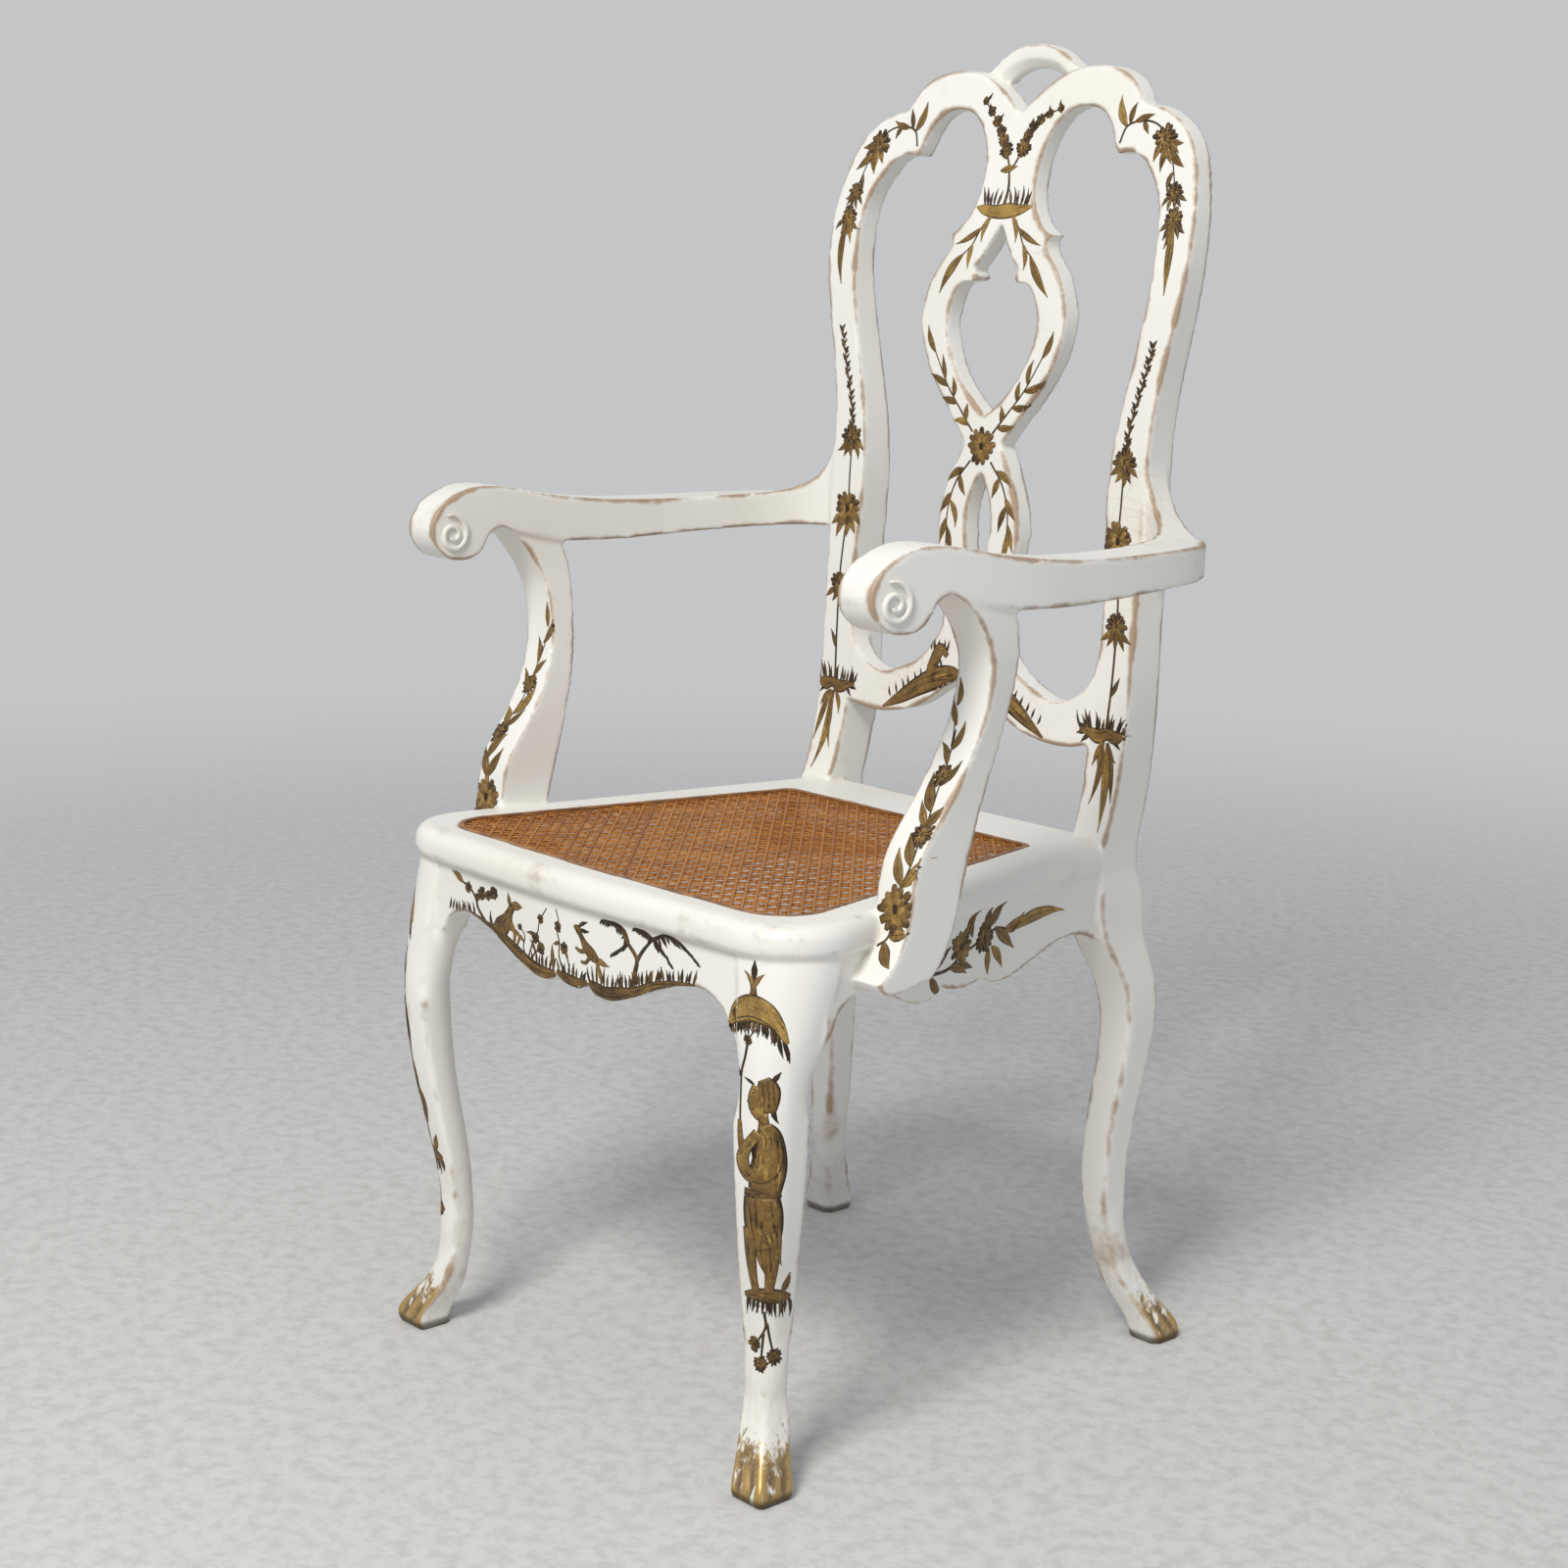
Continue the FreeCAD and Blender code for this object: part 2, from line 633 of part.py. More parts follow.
rail_top = (size("rail_half"), shoulder[-1][1])
shoulder[-1] = rail_top
rail_low = (size("rail_half"), back_z(528))
stile = body("rear_stile")
stile_outline = [line((outer_x, frame_low), stile_out[0]), spline(*stile_out)]
stile_outline += [line(stile_out[-1], shoulder[0]), spline(*shoulder), line(rail_top, rail_low)]
stile_outline += [spline(rail_low, (size("post_inner") - 2, back_z(500)), (size("post_inner"), seat_top))]
stile_outline += chain([(size("post_inner"), seat_top), (size("post_inner"), frame_low),
                        (outer_x, frame_low)])
pad(stile, drawn(stile, "XZ_Plane", stile_outline), "700", True)
stile_levels = [450, 520, 600, 720, 850, 950, 1020, 1080]
stile_thins = (1, 0.92, 0.86, 0.78, 0.66, 0.54, 0.45, 0.43)
slab(stile, stile_levels, [size("post_depth") * share for share in stile_thins], frame_low)
rear_flutes = fluted("rear_flutes", V(208.5, 240.5, 9 * leg_scale), V(185.5, 217, 60 * leg_scale),
                     (18.5, 14.5), (V(1, 0, 0), V(0, 1, 0)))
rear_post_blank = cut("rear_post_carved", fuse("rear_post_fused", rear_shaft, stile), rear_flutes)

# Lower back rail: a double dip between the stiles, with a shoe for the splat
shoe = on_back([(36, 606)])[0]
dip = [rail_top] + on_back([(138, 575), (121, 563), (104, 559), (84, 565), (66, 573), (50, 586), (36, 606)])
belly = on_back([(0, 564), (20, 557), (39, 544), (60, 532), (85, 525), (112, 522), (132, 524)]) + [rail_low]
rail = body("lower_back_rail_blank")
rail_outline = [spline(*dip), line(shoe, (-shoe[0], shoe[1])), spline(*mirrored(dip))]
rail_outline += [line((-rail_top[0], rail_top[1]), (-rail_low[0], rail_low[1])), spline(*mirrored(belly))]
rail_outline += [spline(*belly), line(rail_low, rail_top)]
pad(rail, drawn(rail, "XZ_Plane", rail_outline), "700", True)
slab(rail, [500, 550, 600, 640], [size("back_thick")] * 4)

# Crest rail: two humps that meet in a V and run down into one stem
hump_out = on_back([(0, 1054), (10, 1064), (25, 1076), (42, 1086), (62, 1092), (82, 1093), (99, 1091),
                    (115, 1085), (128, 1074), (136, 1060)])
stem = on_back([(31, 1012)])[0]
hump_in = on_back([(117, 1019), (110, 1032), (104, 1044), (94, 1054), (80, 1059), (67, 1059), (54, 1054),
                   (42, 1042), (35, 1028), (31, 1012)])
crest = body("crest_rail_blank")
crest_outline = [spline(*hump_out), line(hump_out[-1], hump_in[0]), spline(*hump_in)]
crest_outline += [line(stem, (-stem[0], stem[1])), spline(*mirrored(hump_in))]
crest_outline += [line(mirrored(hump_in)[-1], mirrored(hump_out)[0]), spline(*mirrored(hump_out))]
pad(crest, drawn(crest, "XZ_Plane", crest_outline), "700", True)
crest_prism = body("crest_prism")
pad(crest_prism, drawn(crest_prism, "XZ_Plane", crest_outline), "700", True)
slab(crest, [1000, 1020, 1060, 1110], [size("back_thick")] * 4)

# Ribbon loop that springs from hump to hump over the V
arch = body("crest_arch_blank")
arch_top = back_z(1114)
arch_foot = arch_top - size("arch_rise")
half_in = size("arch_half") - size("arch_height")
top_in = arch_top - size("arch_height")
arch_outline = [arc((-size("arch_half"), arch_foot), (0, arch_top), (size("arch_half"), arch_foot))]
arch_outline += [line((size("arch_half"), arch_foot), (half_in, arch_foot))]
arch_outline += [arc((half_in, arch_foot), (0, top_in), (-half_in, arch_foot))]
arch_outline += [line((-half_in, arch_foot), (-size("arch_half"), arch_foot))]
arch_reach = "<<sizes>>.seat_back + <<sizes>>.back_rake * 69 / 72"
arch_reach += " + <<sizes>>.back_thick + <<sizes>>.arch_proud"
arch_pad = pad(arch, drawn(arch, "XZ_Plane", arch_outline, "-(" + arch_reach + ")"), "<<sizes>>.arch_depth")
arch_rear = size("seat_back") + size("back_rake") * 69 / 72 + size("back_thick") + size("arch_proud")
doc.recompute()
arch_edges = []
for index, edge in enumerate(arch_pad.Shape.Edges, start=1):
    middle = edge.valueAt((edge.FirstParameter + edge.LastParameter) / 2)
    low = abs(middle.z - top_in) < 0.1
    near = abs(middle.y - arch_rear + size("arch_depth")) < 0.1
    if low and near:
        arch_edges.append("Edge%d" % index)
bevel = arch.newObject("PartDesign::Chamfer", "crest_arch_bevel")
bevel.Base = (arch_pad, arch_edges)
bevel.setExpression("Size", "<<sizes>>.arch_bevel")
arch.Tip = bevel
crest_arch_blank = cut("crest_arch_trimmed", arch, crest_prism)

# Pierced splat: an open oval above a narrow loop, eared where it leaves the stem
splat_side = [stem] + on_back([(31, 995), (34, 980), (42, 965), (58, 952)])
oval_out = on_back([(58, 952), (56, 941), (66, 928), (76, 913), (82, 898), (85, 880), (82, 861), (75, 842),
                    (61, 820), (44, 799), (22, 772)])
loop_out = on_back([(22, 772), (34, 749), (42, 730), (47, 711), (48, 692), (45, 674), (39, 648), (35, 625)])
loop_out += [shoe]
oval_top = on_back([(0, 962), (8, 946), (18, 931), (27, 921)])
oval_ear = on_back([(27, 921), (22, 914), (30, 911)])
oval_low = on_back([(30, 911), (41, 908), (48, 897), (52, 883), (52, 868), (47, 852), (37, 833), (22, 815),
                    (0, 797)])
loop_in = on_back([(0, 748), (9, 731), (14, 712), (14, 694), (10, 670), (0, 644)])
splat = body("splat_blank")
splat_outline = [spline(*splat_side), spline(*oval_out), spline(*loop_out), line(shoe, (-shoe[0], shoe[1]))]
splat_outline += [spline(*mirrored(loop_out)), spline(*mirrored(oval_out)), spline(*mirrored(splat_side))]
splat_outline += [line((-stem[0], stem[1]), stem)]
for run in (oval_top, oval_ear, oval_low, loop_in):
    splat_outline += [spline(*run), spline(*mirrored(run))]
pad(splat, drawn(splat, "XZ_Plane", splat_outline), "700", True)
slab(splat, [560, 600, 750, 880, 950, 1020, 1060], [size("back_thick")] * 7)


# Arms: sawn to a scrolled side profile and a bowed plan
def arm_z(z):
    return seat_top + (z - 450) * size("arm_rise") / 261


arm_out = size("arm_reach")
arm_in = arm_out - size("arm_width")
seat_line = [(-69, arm_z(677)), (-128, arm_z(690))]
arm_side = body("arm_profile")
arm_under = [(300, arm_z(684)), (163, arm_z(682)), (112, arm_z(680)), (62, arm_z(678)), (13, arm_z(676)),
             (-34, arm_z(676)), seat_line[0]]
arm_throat = [seat_line[1], (-139, arm_z(692)), (-149, arm_z(687)), (-154, arm_z(679))]
arm_scroll = [(-154, arm_z(679)), (-162, arm_z(670)), (-177, arm_z(666)), (-196, arm_z(670)),
              (-208, arm_z(681)), (-212, arm_z(694)), (-206, arm_z(708)), (-193, arm_z(719)),
              (-173, arm_z(727)), (-148, arm_z(729))]
arm_top = [(-148, arm_z(729)), (-122, arm_z(726)), (-95, arm_z(721)), (-51, arm_z(715)), (0, arm_z(711)),
           (60, arm_z(710)), (150, arm_z(711)), (300, arm_z(712))]
arm_curves = [spline(*arm_under), line(*seat_line), spline(*arm_throat)]
arm_curves += [spline(*arm_scroll), spline(*arm_top), line(arm_top[-1], arm_under[0])]
pad(arm_side, drawn(arm_side, "YZ_Plane", arm_curves), "900", True)
arm_plan = body("arm_plan")
stile_face = size("post_outer")
arm_outer = [(arm_out - 13, -260), (arm_out - 9, -190), (arm_out - 3, -118), (arm_out, -50),
             (arm_out - 1, 10), (arm_out - 5, 80), (arm_out - 12, 135), (arm_out - 22, 170),
             (arm_out - 42, 196), (arm_out - 74, 214), (stile_face, 224)]
arm_inner = [(stile_face, 198), (arm_in - 42, 188), (arm_in - 24, 164), (arm_in - 12, 125),
             (arm_in - 4, 70), (arm_in, 0), (arm_in, -100), (arm_in - 2, -190), (arm_in - 4, -260)]
plan_curves = [spline(*arm_outer), line(arm_outer[-1], arm_inner[0]), spline(*arm_inner)]
plan_curves += [line(arm_inner[-1], arm_outer[0])]
pad(arm_plan, drawn(arm_plan, "XY_Plane", plan_curves), "2400", True)
arm_bar = common("arm_bar", arm_side, arm_plan)

# Swept foot of the arm where it climbs the stile
sweep = body("arm_sweep")
sweep_top = min(arm_z(774), back_z(774))
sweep_low = arm_z(704)
sweep_tip = (stile_face + 62, arm_z(711))
sweep_curves = [arc((stile_face, sweep_top), (stile_face + 14, arm_z(733)), sweep_tip)]
sweep_curves += chain([sweep_tip, (sweep_tip[0], sweep_low), (stile_face, sweep_low),
                       (stile_face, sweep_top)])
pad(sweep, drawn(sweep, "XZ_Plane", sweep_curves, "-226"), "120")
arm_blank = fuse("arm_fused", arm_bar, common("arm_sweep_bowed", sweep, arm_plan))

# Arm support: an S-curved post that laps over the seat frame and apron
support_side = body("support_profile")
support_front = [seat_line[1], (-111, arm_z(677)), (-98, arm_z(660)), (-89, arm_z(643)),
                 (-85, arm_z(620)), (-87, arm_z(592)), (-95, arm_z(567)), (-108, arm_z(541)),
                 (-125, arm_z(516)), (-139, arm_z(495)), (-146, arm_z(473)), (-149, arm_z(450)),
                 (-154, low_z(433)), (-166, low_z(414)), (-178, low_z(404))]
support_toe = [(-178, low_z(404)), (-172, low_z(397)), (-150, low_z(395)), (-124, low_z(399))]
support_rear = [(-124, low_z(399)), (-110, low_z(415)), (-101, low_z(434)), (-95, arm_z(455)),
                (-90, arm_z(475)), (-82, arm_z(505)), (-73, arm_z(540)), (-65, arm_z(573)),
                (-60, arm_z(610)), (-59, arm_z(640)), (-62, arm_z(660)), seat_line[0]]
support_curves = [spline(*support_front), spline(*support_toe), spline(*support_rear), line(*seat_line)]
pad(support_side, drawn(support_side, "YZ_Plane", support_curves), "900", True)
support_face = body("support_face")
foot_out = frame_side(-120) + 32
lean_out = [(foot_out, low_z(380)), (foot_out + 1, seat_top), (foot_out + 5, arm_z(560)),
            (arm_out - 6, arm_z(640)), (arm_out - 4, arm_z(700))]
wide = size("support_width")
lean_in = [(x - wide, z) for x, z in reversed(lean_out)]
face_curves = [spline(*lean_out), line(lean_out[-1], lean_in[0])]
face_curves += [spline(*lean_in), line(lean_in[-1], lean_out[0])]
pad(support_face, drawn(support_face, "XZ_Plane", face_curves), "700", True)
support_bar = common("support_bar", support_side, support_face)
seat_mass = fuse("seat_mass_front", fuse("seat_mass_side", ring, side_apron), side_wing)
support_blank = cut("support_coped", cut("support_cleared", support_bar, seat_mass), front_shaft)

# Joints
apron_mid = frame_low - 18
front_pegs = pegged("front_apron", both([
    (V(wing_x, front_end + 13, apron_mid + 9), turned["x"]),
    (V(wing_x, front_end + 13, apron_mid - 9), turned["x"]),
]))
flank_x = (apron_side(wing_y) + apron_inside(wing_y)) / 2
tail_x = (apron_side(rear_y) + apron_inside(rear_y)) / 2
side_pegs = pegged("side_apron", both([
    (V(flank_x, wing_y, apron_mid + 9), turned["y"]),
    (V(flank_x, wing_y, apron_mid - 8), turned["y"]),
    (V(tail_x, rear_y, apron_mid + 8), turned["y"]),
    (V(tail_x, rear_y, apron_mid - 14), turned["y"]),
]))
rear_pegs = pegged("rear_apron", both([
    (V(post_in, rear_apron_front + 11, apron_mid + 6), turned["x"]),
    (V(post_in, rear_apron_front + 11, apron_mid - 10), turned["x"]),
]))
half_thick = size("back_thick") / 2
rail_pegs = pegged("back_rail", both([
    (V(size("rail_half"), back_y(538) + half_thick, back_z(538)), turned["x"]),
    (V(size("rail_half"), back_y(556) + half_thick, back_z(556)), turned["x"]),
]))
splat_pegs = pegged("splat", [
    (V(back_x(x), back_y(z) + half_thick, back_z(z)), turned["z"])
    for x in (-16, 16) for z in (606, 1012)
])
shoulder_mid = V((stile_out[-1][0] + shoulder[0][0]) / 2 + 1, back_y(1040) + half_thick,
                 (stile_out[-1][1] + shoulder[0][1]) / 2)
shoulder_way = V(stile_out[-1][1] - shoulder[0][1], 0, shoulder[0][0] - stile_out[-1][0])
shoulder_way.normalize()
crest_pegs = []
for index, (middle, along) in enumerate(both([(shoulder_mid, shoulder_way)])):
    pegs.append(rod("shoulder_dowel_%d" % index, middle, along, dowel, "20"))
    crest_pegs.append(rod("shoulder_socket_%d" % index, middle, along, dowel_hole, "22"))
arm_pegs = pegged("arm", both([
    (V(stile_face, 211, arm_z(701)), turned["x"]),
    (V(arm_out - 23, -97, arm_z(684)), turned["z"]),
]))
back_screw_spots = [(-128, low_z(413)), (-146, low_z(406))]
support_screws = []
for index, (y, z) in enumerate(back_screw_spots):
    for side in (1, -1):
        name = "support_screw_%d_%s" % (index, "right" if side > 0 else "left")
        point = V(side * (apron_inside(y) + 0.2), y, z)
        support_screws.append(screw(name, point, V(side, 0, 0)))
support_screw_set = group("support_screw_set", support_screws)

pieces = {}
seat_sockets = group("seat_sockets", front_pegs + side_pegs)
pieces["front_leg_right"] = cut("front_leg_right", front_leg_blank, seat_sockets)
pieces["front_leg_left"] = flip("front_leg_left", pieces["front_leg_right"])
post_sockets = group("post_sockets", side_pegs + rear_pegs + rail_pegs + crest_pegs + arm_pegs)
pieces["rear_post_right"] = cut("rear_post_right", rear_post_blank, post_sockets)
pieces["rear_post_left"] = flip("rear_post_left", pieces["rear_post_right"])
pieces["front_apron"] = cut("front_apron", front_apron, group("front_apron_sockets", front_pegs))
side_tools = fuse("side_apron_tools", group("side_apron_sockets", side_pegs), support_screw_set)
pieces["side_apron_right"] = cut("side_apron_right", side_apron, side_tools)
pieces["side_apron_left"] = flip("side_apron_left", pieces["side_apron_right"])
pieces["rear_apron"] = cut("rear_apron", rear_apron, group("rear_apron_sockets", rear_pegs))
pieces["seat_frame_front"] = seat_frame_front
pieces["seat_frame_right"] = seat_frame_right
pieces["seat_frame_left"] = seat_frame_left
pieces["seat_frame_rear"] = seat_frame_rear
pieces["cane_panel"] = cane
pieces["cane_spline"] = reed
pieces["corner_block_front_right"] = front_block
pieces["corner_block_front_left"] = front_block_left
pieces["corner_block_rear_right"] = rear_block
pieces["corner_block_rear_left"] = rear_block_left
pieces["lower_back_rail"] = cut("lower_back_rail", rail, group("rail_sockets", rail_pegs + splat_pegs))
pieces["splat"] = cut("splat", splat, group("splat_sockets", splat_pegs))
pieces["crest_rail"] = cut("crest_rail", crest, group("crest_sockets", crest_pegs + splat_pegs))
pieces["crest_arch"] = crest_arch_blank
pieces["arm_right"] = cut("arm_right", arm_blank, group("arm_sockets", arm_pegs))
pieces["arm_left"] = flip("arm_left", pieces["arm_right"])
support_tools = fuse("support_tools", group("support_sockets", arm_pegs), support_screw_set)
pieces["arm_support_right"] = cut("arm_support_right", support_blank, support_tools)
pieces["arm_support_left"] = flip("arm_support_left", pieces["arm_support_right"])
pieces["joint_dowels"] = group("joint_dowels", pegs)
pieces["corner_block_screws"] = block_screw_set
pieces["arm_support_screws"] = support_screw_set

# Build, prove every piece and write it out
doc.recompute()
for item in doc.Objects:
    if "Invalid" in item.State or "Error" in item.State:
        raise ValueError(item.Name + " did not build")
os.makedirs("parts", exist_ok=True)
for label, item in pieces.items():
    shape = item.Shape
    if shape.isNull() or not shape.isValid():
        raise ValueError(label + " is not a valid solid")
    item.Label = label
    shape.exportStep("parts/%s.step" % label)
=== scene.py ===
import json
import math
import random

import bmesh
import bpy
import numpy as np
from mathutils import Matrix, Vector
from mathutils.bvhtree import BVHTree

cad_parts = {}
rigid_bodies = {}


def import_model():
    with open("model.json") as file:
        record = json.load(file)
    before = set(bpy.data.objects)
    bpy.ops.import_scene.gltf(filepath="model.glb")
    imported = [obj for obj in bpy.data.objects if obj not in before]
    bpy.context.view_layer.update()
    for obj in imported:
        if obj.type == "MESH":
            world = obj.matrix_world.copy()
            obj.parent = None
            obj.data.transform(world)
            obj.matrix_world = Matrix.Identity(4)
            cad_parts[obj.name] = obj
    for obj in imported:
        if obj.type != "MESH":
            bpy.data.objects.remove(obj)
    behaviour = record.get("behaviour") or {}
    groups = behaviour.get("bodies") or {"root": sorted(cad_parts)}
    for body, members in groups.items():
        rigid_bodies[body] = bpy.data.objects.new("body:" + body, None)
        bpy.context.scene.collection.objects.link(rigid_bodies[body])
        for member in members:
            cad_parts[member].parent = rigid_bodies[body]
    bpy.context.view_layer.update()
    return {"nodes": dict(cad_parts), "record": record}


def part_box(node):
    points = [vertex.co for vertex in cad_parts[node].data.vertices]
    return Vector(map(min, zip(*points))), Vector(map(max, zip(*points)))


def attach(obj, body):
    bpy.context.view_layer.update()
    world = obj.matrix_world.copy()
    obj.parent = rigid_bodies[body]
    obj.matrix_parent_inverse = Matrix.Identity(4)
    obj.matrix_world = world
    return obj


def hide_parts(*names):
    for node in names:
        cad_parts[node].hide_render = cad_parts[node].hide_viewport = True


for leftover in list(bpy.data.objects):
    bpy.data.objects.remove(leftover)
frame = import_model()
members = frame["nodes"]
slot_of = {piece["node"]: piece["material_slot"] for piece in frame["record"]["subparts"]}


# Wooden frame
# Legs, aprons, seat rails, posts, splat, crest and arms are beech members, dowelled and glued together.
# The joined frame is eased along its edges, filed smooth at the ankles and under the knees, and sanded.
EASING_GRAIN = 0.0020
EASING_PASSES = 5
EASING_SHARE = 0.5
CAP_DEPTH = 0.0035
FILE_BITE = 0.5
ANKLE = (0.056, 0.122)
ANKLE_STROKES = 100
ANKLE_FILL = 0.0030
KNEE_FOOT = (0.298, 0.364)
KNEE_STROKES = 150
KNEE_INNER = 0.222
KNEE_SETBACK = 0.0155
KNEE_BLEND = 0.012
LEG_REACH = 0.15
ARRIS_BULGE = 0.00022
ARRIS_PASSES = 4
BORDER_PASSES = 6
FILLED_BORES = ["joint_dowels", "corner_block_screws", "arm_support_screws"]
wooden = sorted(name for name, slot in slot_of.items() if slot == "white_lacquer")


def placed(name, data):
    """A new object in the scene."""
    made = bpy.data.objects.new(name, data)
    bpy.context.scene.collection.objects.link(made)
    return made


def rows_of(items, label, wide, kind=np.float32):
    """One property of all the items of a mesh, a row for each."""
    found = np.empty(len(items) * wide, kind)
    items.foreach_get(label, found)
    return found.reshape(-1, wide)


def marked(mesh, label, values):
    """Stores a value for each point of a mesh."""
    store = mesh.attributes.new(label, "FLOAT", "POINT")
    store.data.foreach_set("value", np.array(values, np.float32))


def solid_arrays(names):
    """Corner places, triangles and owner of every triangle of some members."""
    corners, triangles, owners, start = [], [], [], 0
    for owner, name in enumerate(names):
        mesh = members[name].data
        mesh.calc_loop_triangles()
        corners.append(rows_of(mesh.vertices, "co", 3))
        triangles.append(rows_of(mesh.loop_triangles, "vertices", 3, np.int32) + start)
        owners.append(np.full(len(triangles[-1]), owner))
        start += len(mesh.vertices)
    return np.concatenate(corners), np.concatenate(triangles), np.concatenate(owners)


def eased_frame():
    """The whole frame as one close skin with softened edges."""
    corners, triangles, _ = solid_arrays(wooden + FILLED_BORES)
    rough = bpy.data.meshes.new("rough_frame")
    rough.from_pydata(corners.tolist(), [], triangles.tolist())
    holder = placed("rough_frame", rough)
    joining = holder.modifiers.new("joining", "REMESH")
    joining.mode = "VOXEL"
    joining.voxel_size = EASING_GRAIN
    sanding = holder.modifiers.new("sanding", "SMOOTH")
    sanding.factor = EASING_SHARE
    sanding.iterations = EASING_PASSES
    made = bpy.data.meshes.new_from_object(holder.evaluated_get(bpy.context.evaluated_depsgraph_get()))
    bpy.data.objects.remove(holder)
    return made


def largest_skin(mesh):
    """Drops the closed pockets inside the wood, and keeps the outer skin."""
    work = bmesh.new()
    work.from_mesh(mesh)
    unseen = set(work.verts)
    shells = []
    while unseen:
        seed = unseen.pop()
        shell, edge_of_shell = [seed], [seed]
        while edge_of_shell:
            vertex = edge_of_shell.pop()
            for link in vertex.link_edges:
                other = link.other_vert(vertex)
                if other in unseen:
                    unseen.remove(other)
                    shell.append(other)
                    edge_of_shell.append(other)
        shells.append(shell)
    shells.sort(key=len, reverse=True)
    for shell in shells[1:]:
        bmesh.ops.delete(work, geom=shell, context="VERTS")
    work.to_mesh(mesh)
    work.free()


skin = eased_frame()
largest_skin(skin)
skin_places = rows_of(skin.vertices, "co", 3)
links = rows_of(skin.edges, "vertices", 2, np.int32)
link_start, link_end = links.T
link_count = np.bincount(links.ravel(), minlength=len(skin_places))


def around(values):
    """The mean of the neighbours of each point of the skin."""
    count = len(values)
    after = np.bincount(link_start, values[link_end], count)
    before = np.bincount(link_end, values[link_start], count)
    return (after + before) / link_count


def filed(share, strokes):
    """Files the skin down by its share, so that a step runs out into the wood beside it."""
    close = (share[link_start] > 0) | (share[link_end] > 0)
    spots, both = np.unique(np.concatenate([link_start[close], link_end[close]]), return_inverse=True)
    one, two = both.reshape(2, -1)
    near = np.bincount(both)[:, None]
    local, hold = skin_places[spots].astype(float), share[spots][:, None]
    for _ in range(strokes):
        mean = np.stack([np.bincount(one, local[two, axis], len(spots))
                         + np.bincount(two, local[one, axis], len(spots)) for axis in range(3)], 1) / near
        local += FILE_BITE * hold * (mean - local)
    skin_places[spots] = local


def swell(span):
    """A share that rises from nothing to one and falls again between two heights."""
    return np.sin(np.pi * np.clip((skin_places[:, 2] - span[0]) / (span[1] - span[0]), 0, 1))


def reshaped():
    """Puts the new places on the skin and reads the way that each point of it faces."""
    skin.vertices.foreach_set("co", skin_places.ravel())
    skin.update()
    return rows_of(skin.vertex_normals, "vector", 3)


wide_of, deep_of = np.abs(skin_places[:, 0]), -skin_places[:, 1]
at_ankle = swell(ANKLE) * ((wide_of > LEG_REACH) & (np.abs(deep_of) > LEG_REACH))
filed(at_ankle, ANKLE_STROKES)
inner_side = np.clip((KNEE_INNER - np.minimum(wide_of, deep_of - KNEE_SETBACK)) / KNEE_BLEND, 0, 1)
filed(swell(KNEE_FOOT) * inner_side * ((wide_of > LEG_REACH) & (deep_of > LEG_REACH)), KNEE_STROKES)
skin_places += ANKLE_FILL * at_ankle[:, None] * reshaped()
skin_ways = reshaped()


def arris_amount():
    """How far each point stands out as an arris, from -1 in a hollow to 1 on an edge."""
    pull = np.stack([around(skin_places[:, axis]) for axis in range(3)], 1) - skin_places
    bulge = -(pull * skin_ways).sum(1) / ARRIS_BULGE
    for _ in range(ARRIS_PASSES):
        bulge = 0.5 * bulge + 0.5 * around(bulge)
    return np.clip(bulge, -1, 1)


# High values are rubbed to tan by the lacquer; low values in hollows are painted in shade.
rubbed = arris_amount()


def shared_labels(mesh):
    """The member that each face of the skin belongs to, with ragged borders smoothed."""
    corners, triangles, owners = solid_arrays(wooden)
    nearest = BVHTree.FromPolygons(corners.tolist(), triangles.tolist())
    label = np.array([owners[nearest.find_nearest(face.center)[2]] for face in mesh.polygons])
    sides = {}
    for face in mesh.polygons:
        for key in face.edge_keys:
            sides.setdefault(key, []).append(face.index)
    pairs = np.array([pair for pair in sides.values() if len(pair) == 2])
    for _ in range(BORDER_PASSES):
        votes = np.zeros((len(label), len(wooden)), np.int16)
        np.add.at(votes, (pairs[:, 0], label[pairs[:, 1]]), 1)
        np.add.at(votes, (pairs[:, 1], label[pairs[:, 0]]), 1)
        own = votes[np.arange(len(label)), label]
        label = np.where(own <= 1, votes.argmax(1), label)
    return label


def closed_part(name, mine):
    """One member's share of the skin, closed inside the wood where it meets its neighbours."""
    used = np.unique(np.concatenate([np.array(face) for face in mine]))
    place_of = {int(old): new for new, old in enumerate(used)}
    faces = [[place_of[i] for i in face] for face in mine]
    places = skin_places[used].tolist()
    ways = skin_ways[used].tolist()
    arris_values = rubbed[used].tolist()
    open_edges = set()
    for face in faces:
        for a, b in zip(face, face[1:] + face[:1]):
            if (b, a) in open_edges:
                open_edges.remove((b, a))
            else:
                open_edges.add((a, b))
    parent = {}

    def root(item):
        while parent.setdefault(item, item) != item:
            item = parent[item]
        return item

    for a, b in sorted(open_edges):
        parent[root(a)] = root(b)
    sunk, hubs = {}, {}
    for vertex in sorted(parent):
        sunk[vertex] = len(places)
        places.append((np.array(places[vertex]) - CAP_DEPTH * np.array(ways[vertex])).tolist())
        ways.append(ways[vertex])
        arris_values.append(arris_values[vertex])
        hubs.setdefault(root(vertex), []).append(sunk[vertex])
    hub_of = {}
    for key, ring in hubs.items():
        hub_of[key] = len(places)
        places.append(np.mean([places[i] for i in ring], 0).tolist())
        ways.append((0.0, 0.0, 1.0))
        arris_values.append(0.0)
    for a, b in sorted(open_edges):
        faces.append([b, a, sunk[a], sunk[b]])
        faces.append([sunk[b], sunk[a], hub_of[root(a)]])
    part = bpy.data.meshes.new(name + "_eased")
    part.from_pydata(places, [], faces)
    part.shade_smooth()
    part.normals_split_custom_set_from_vertices(ways)
    marked(part, "rubbed", arris_values)
    return part


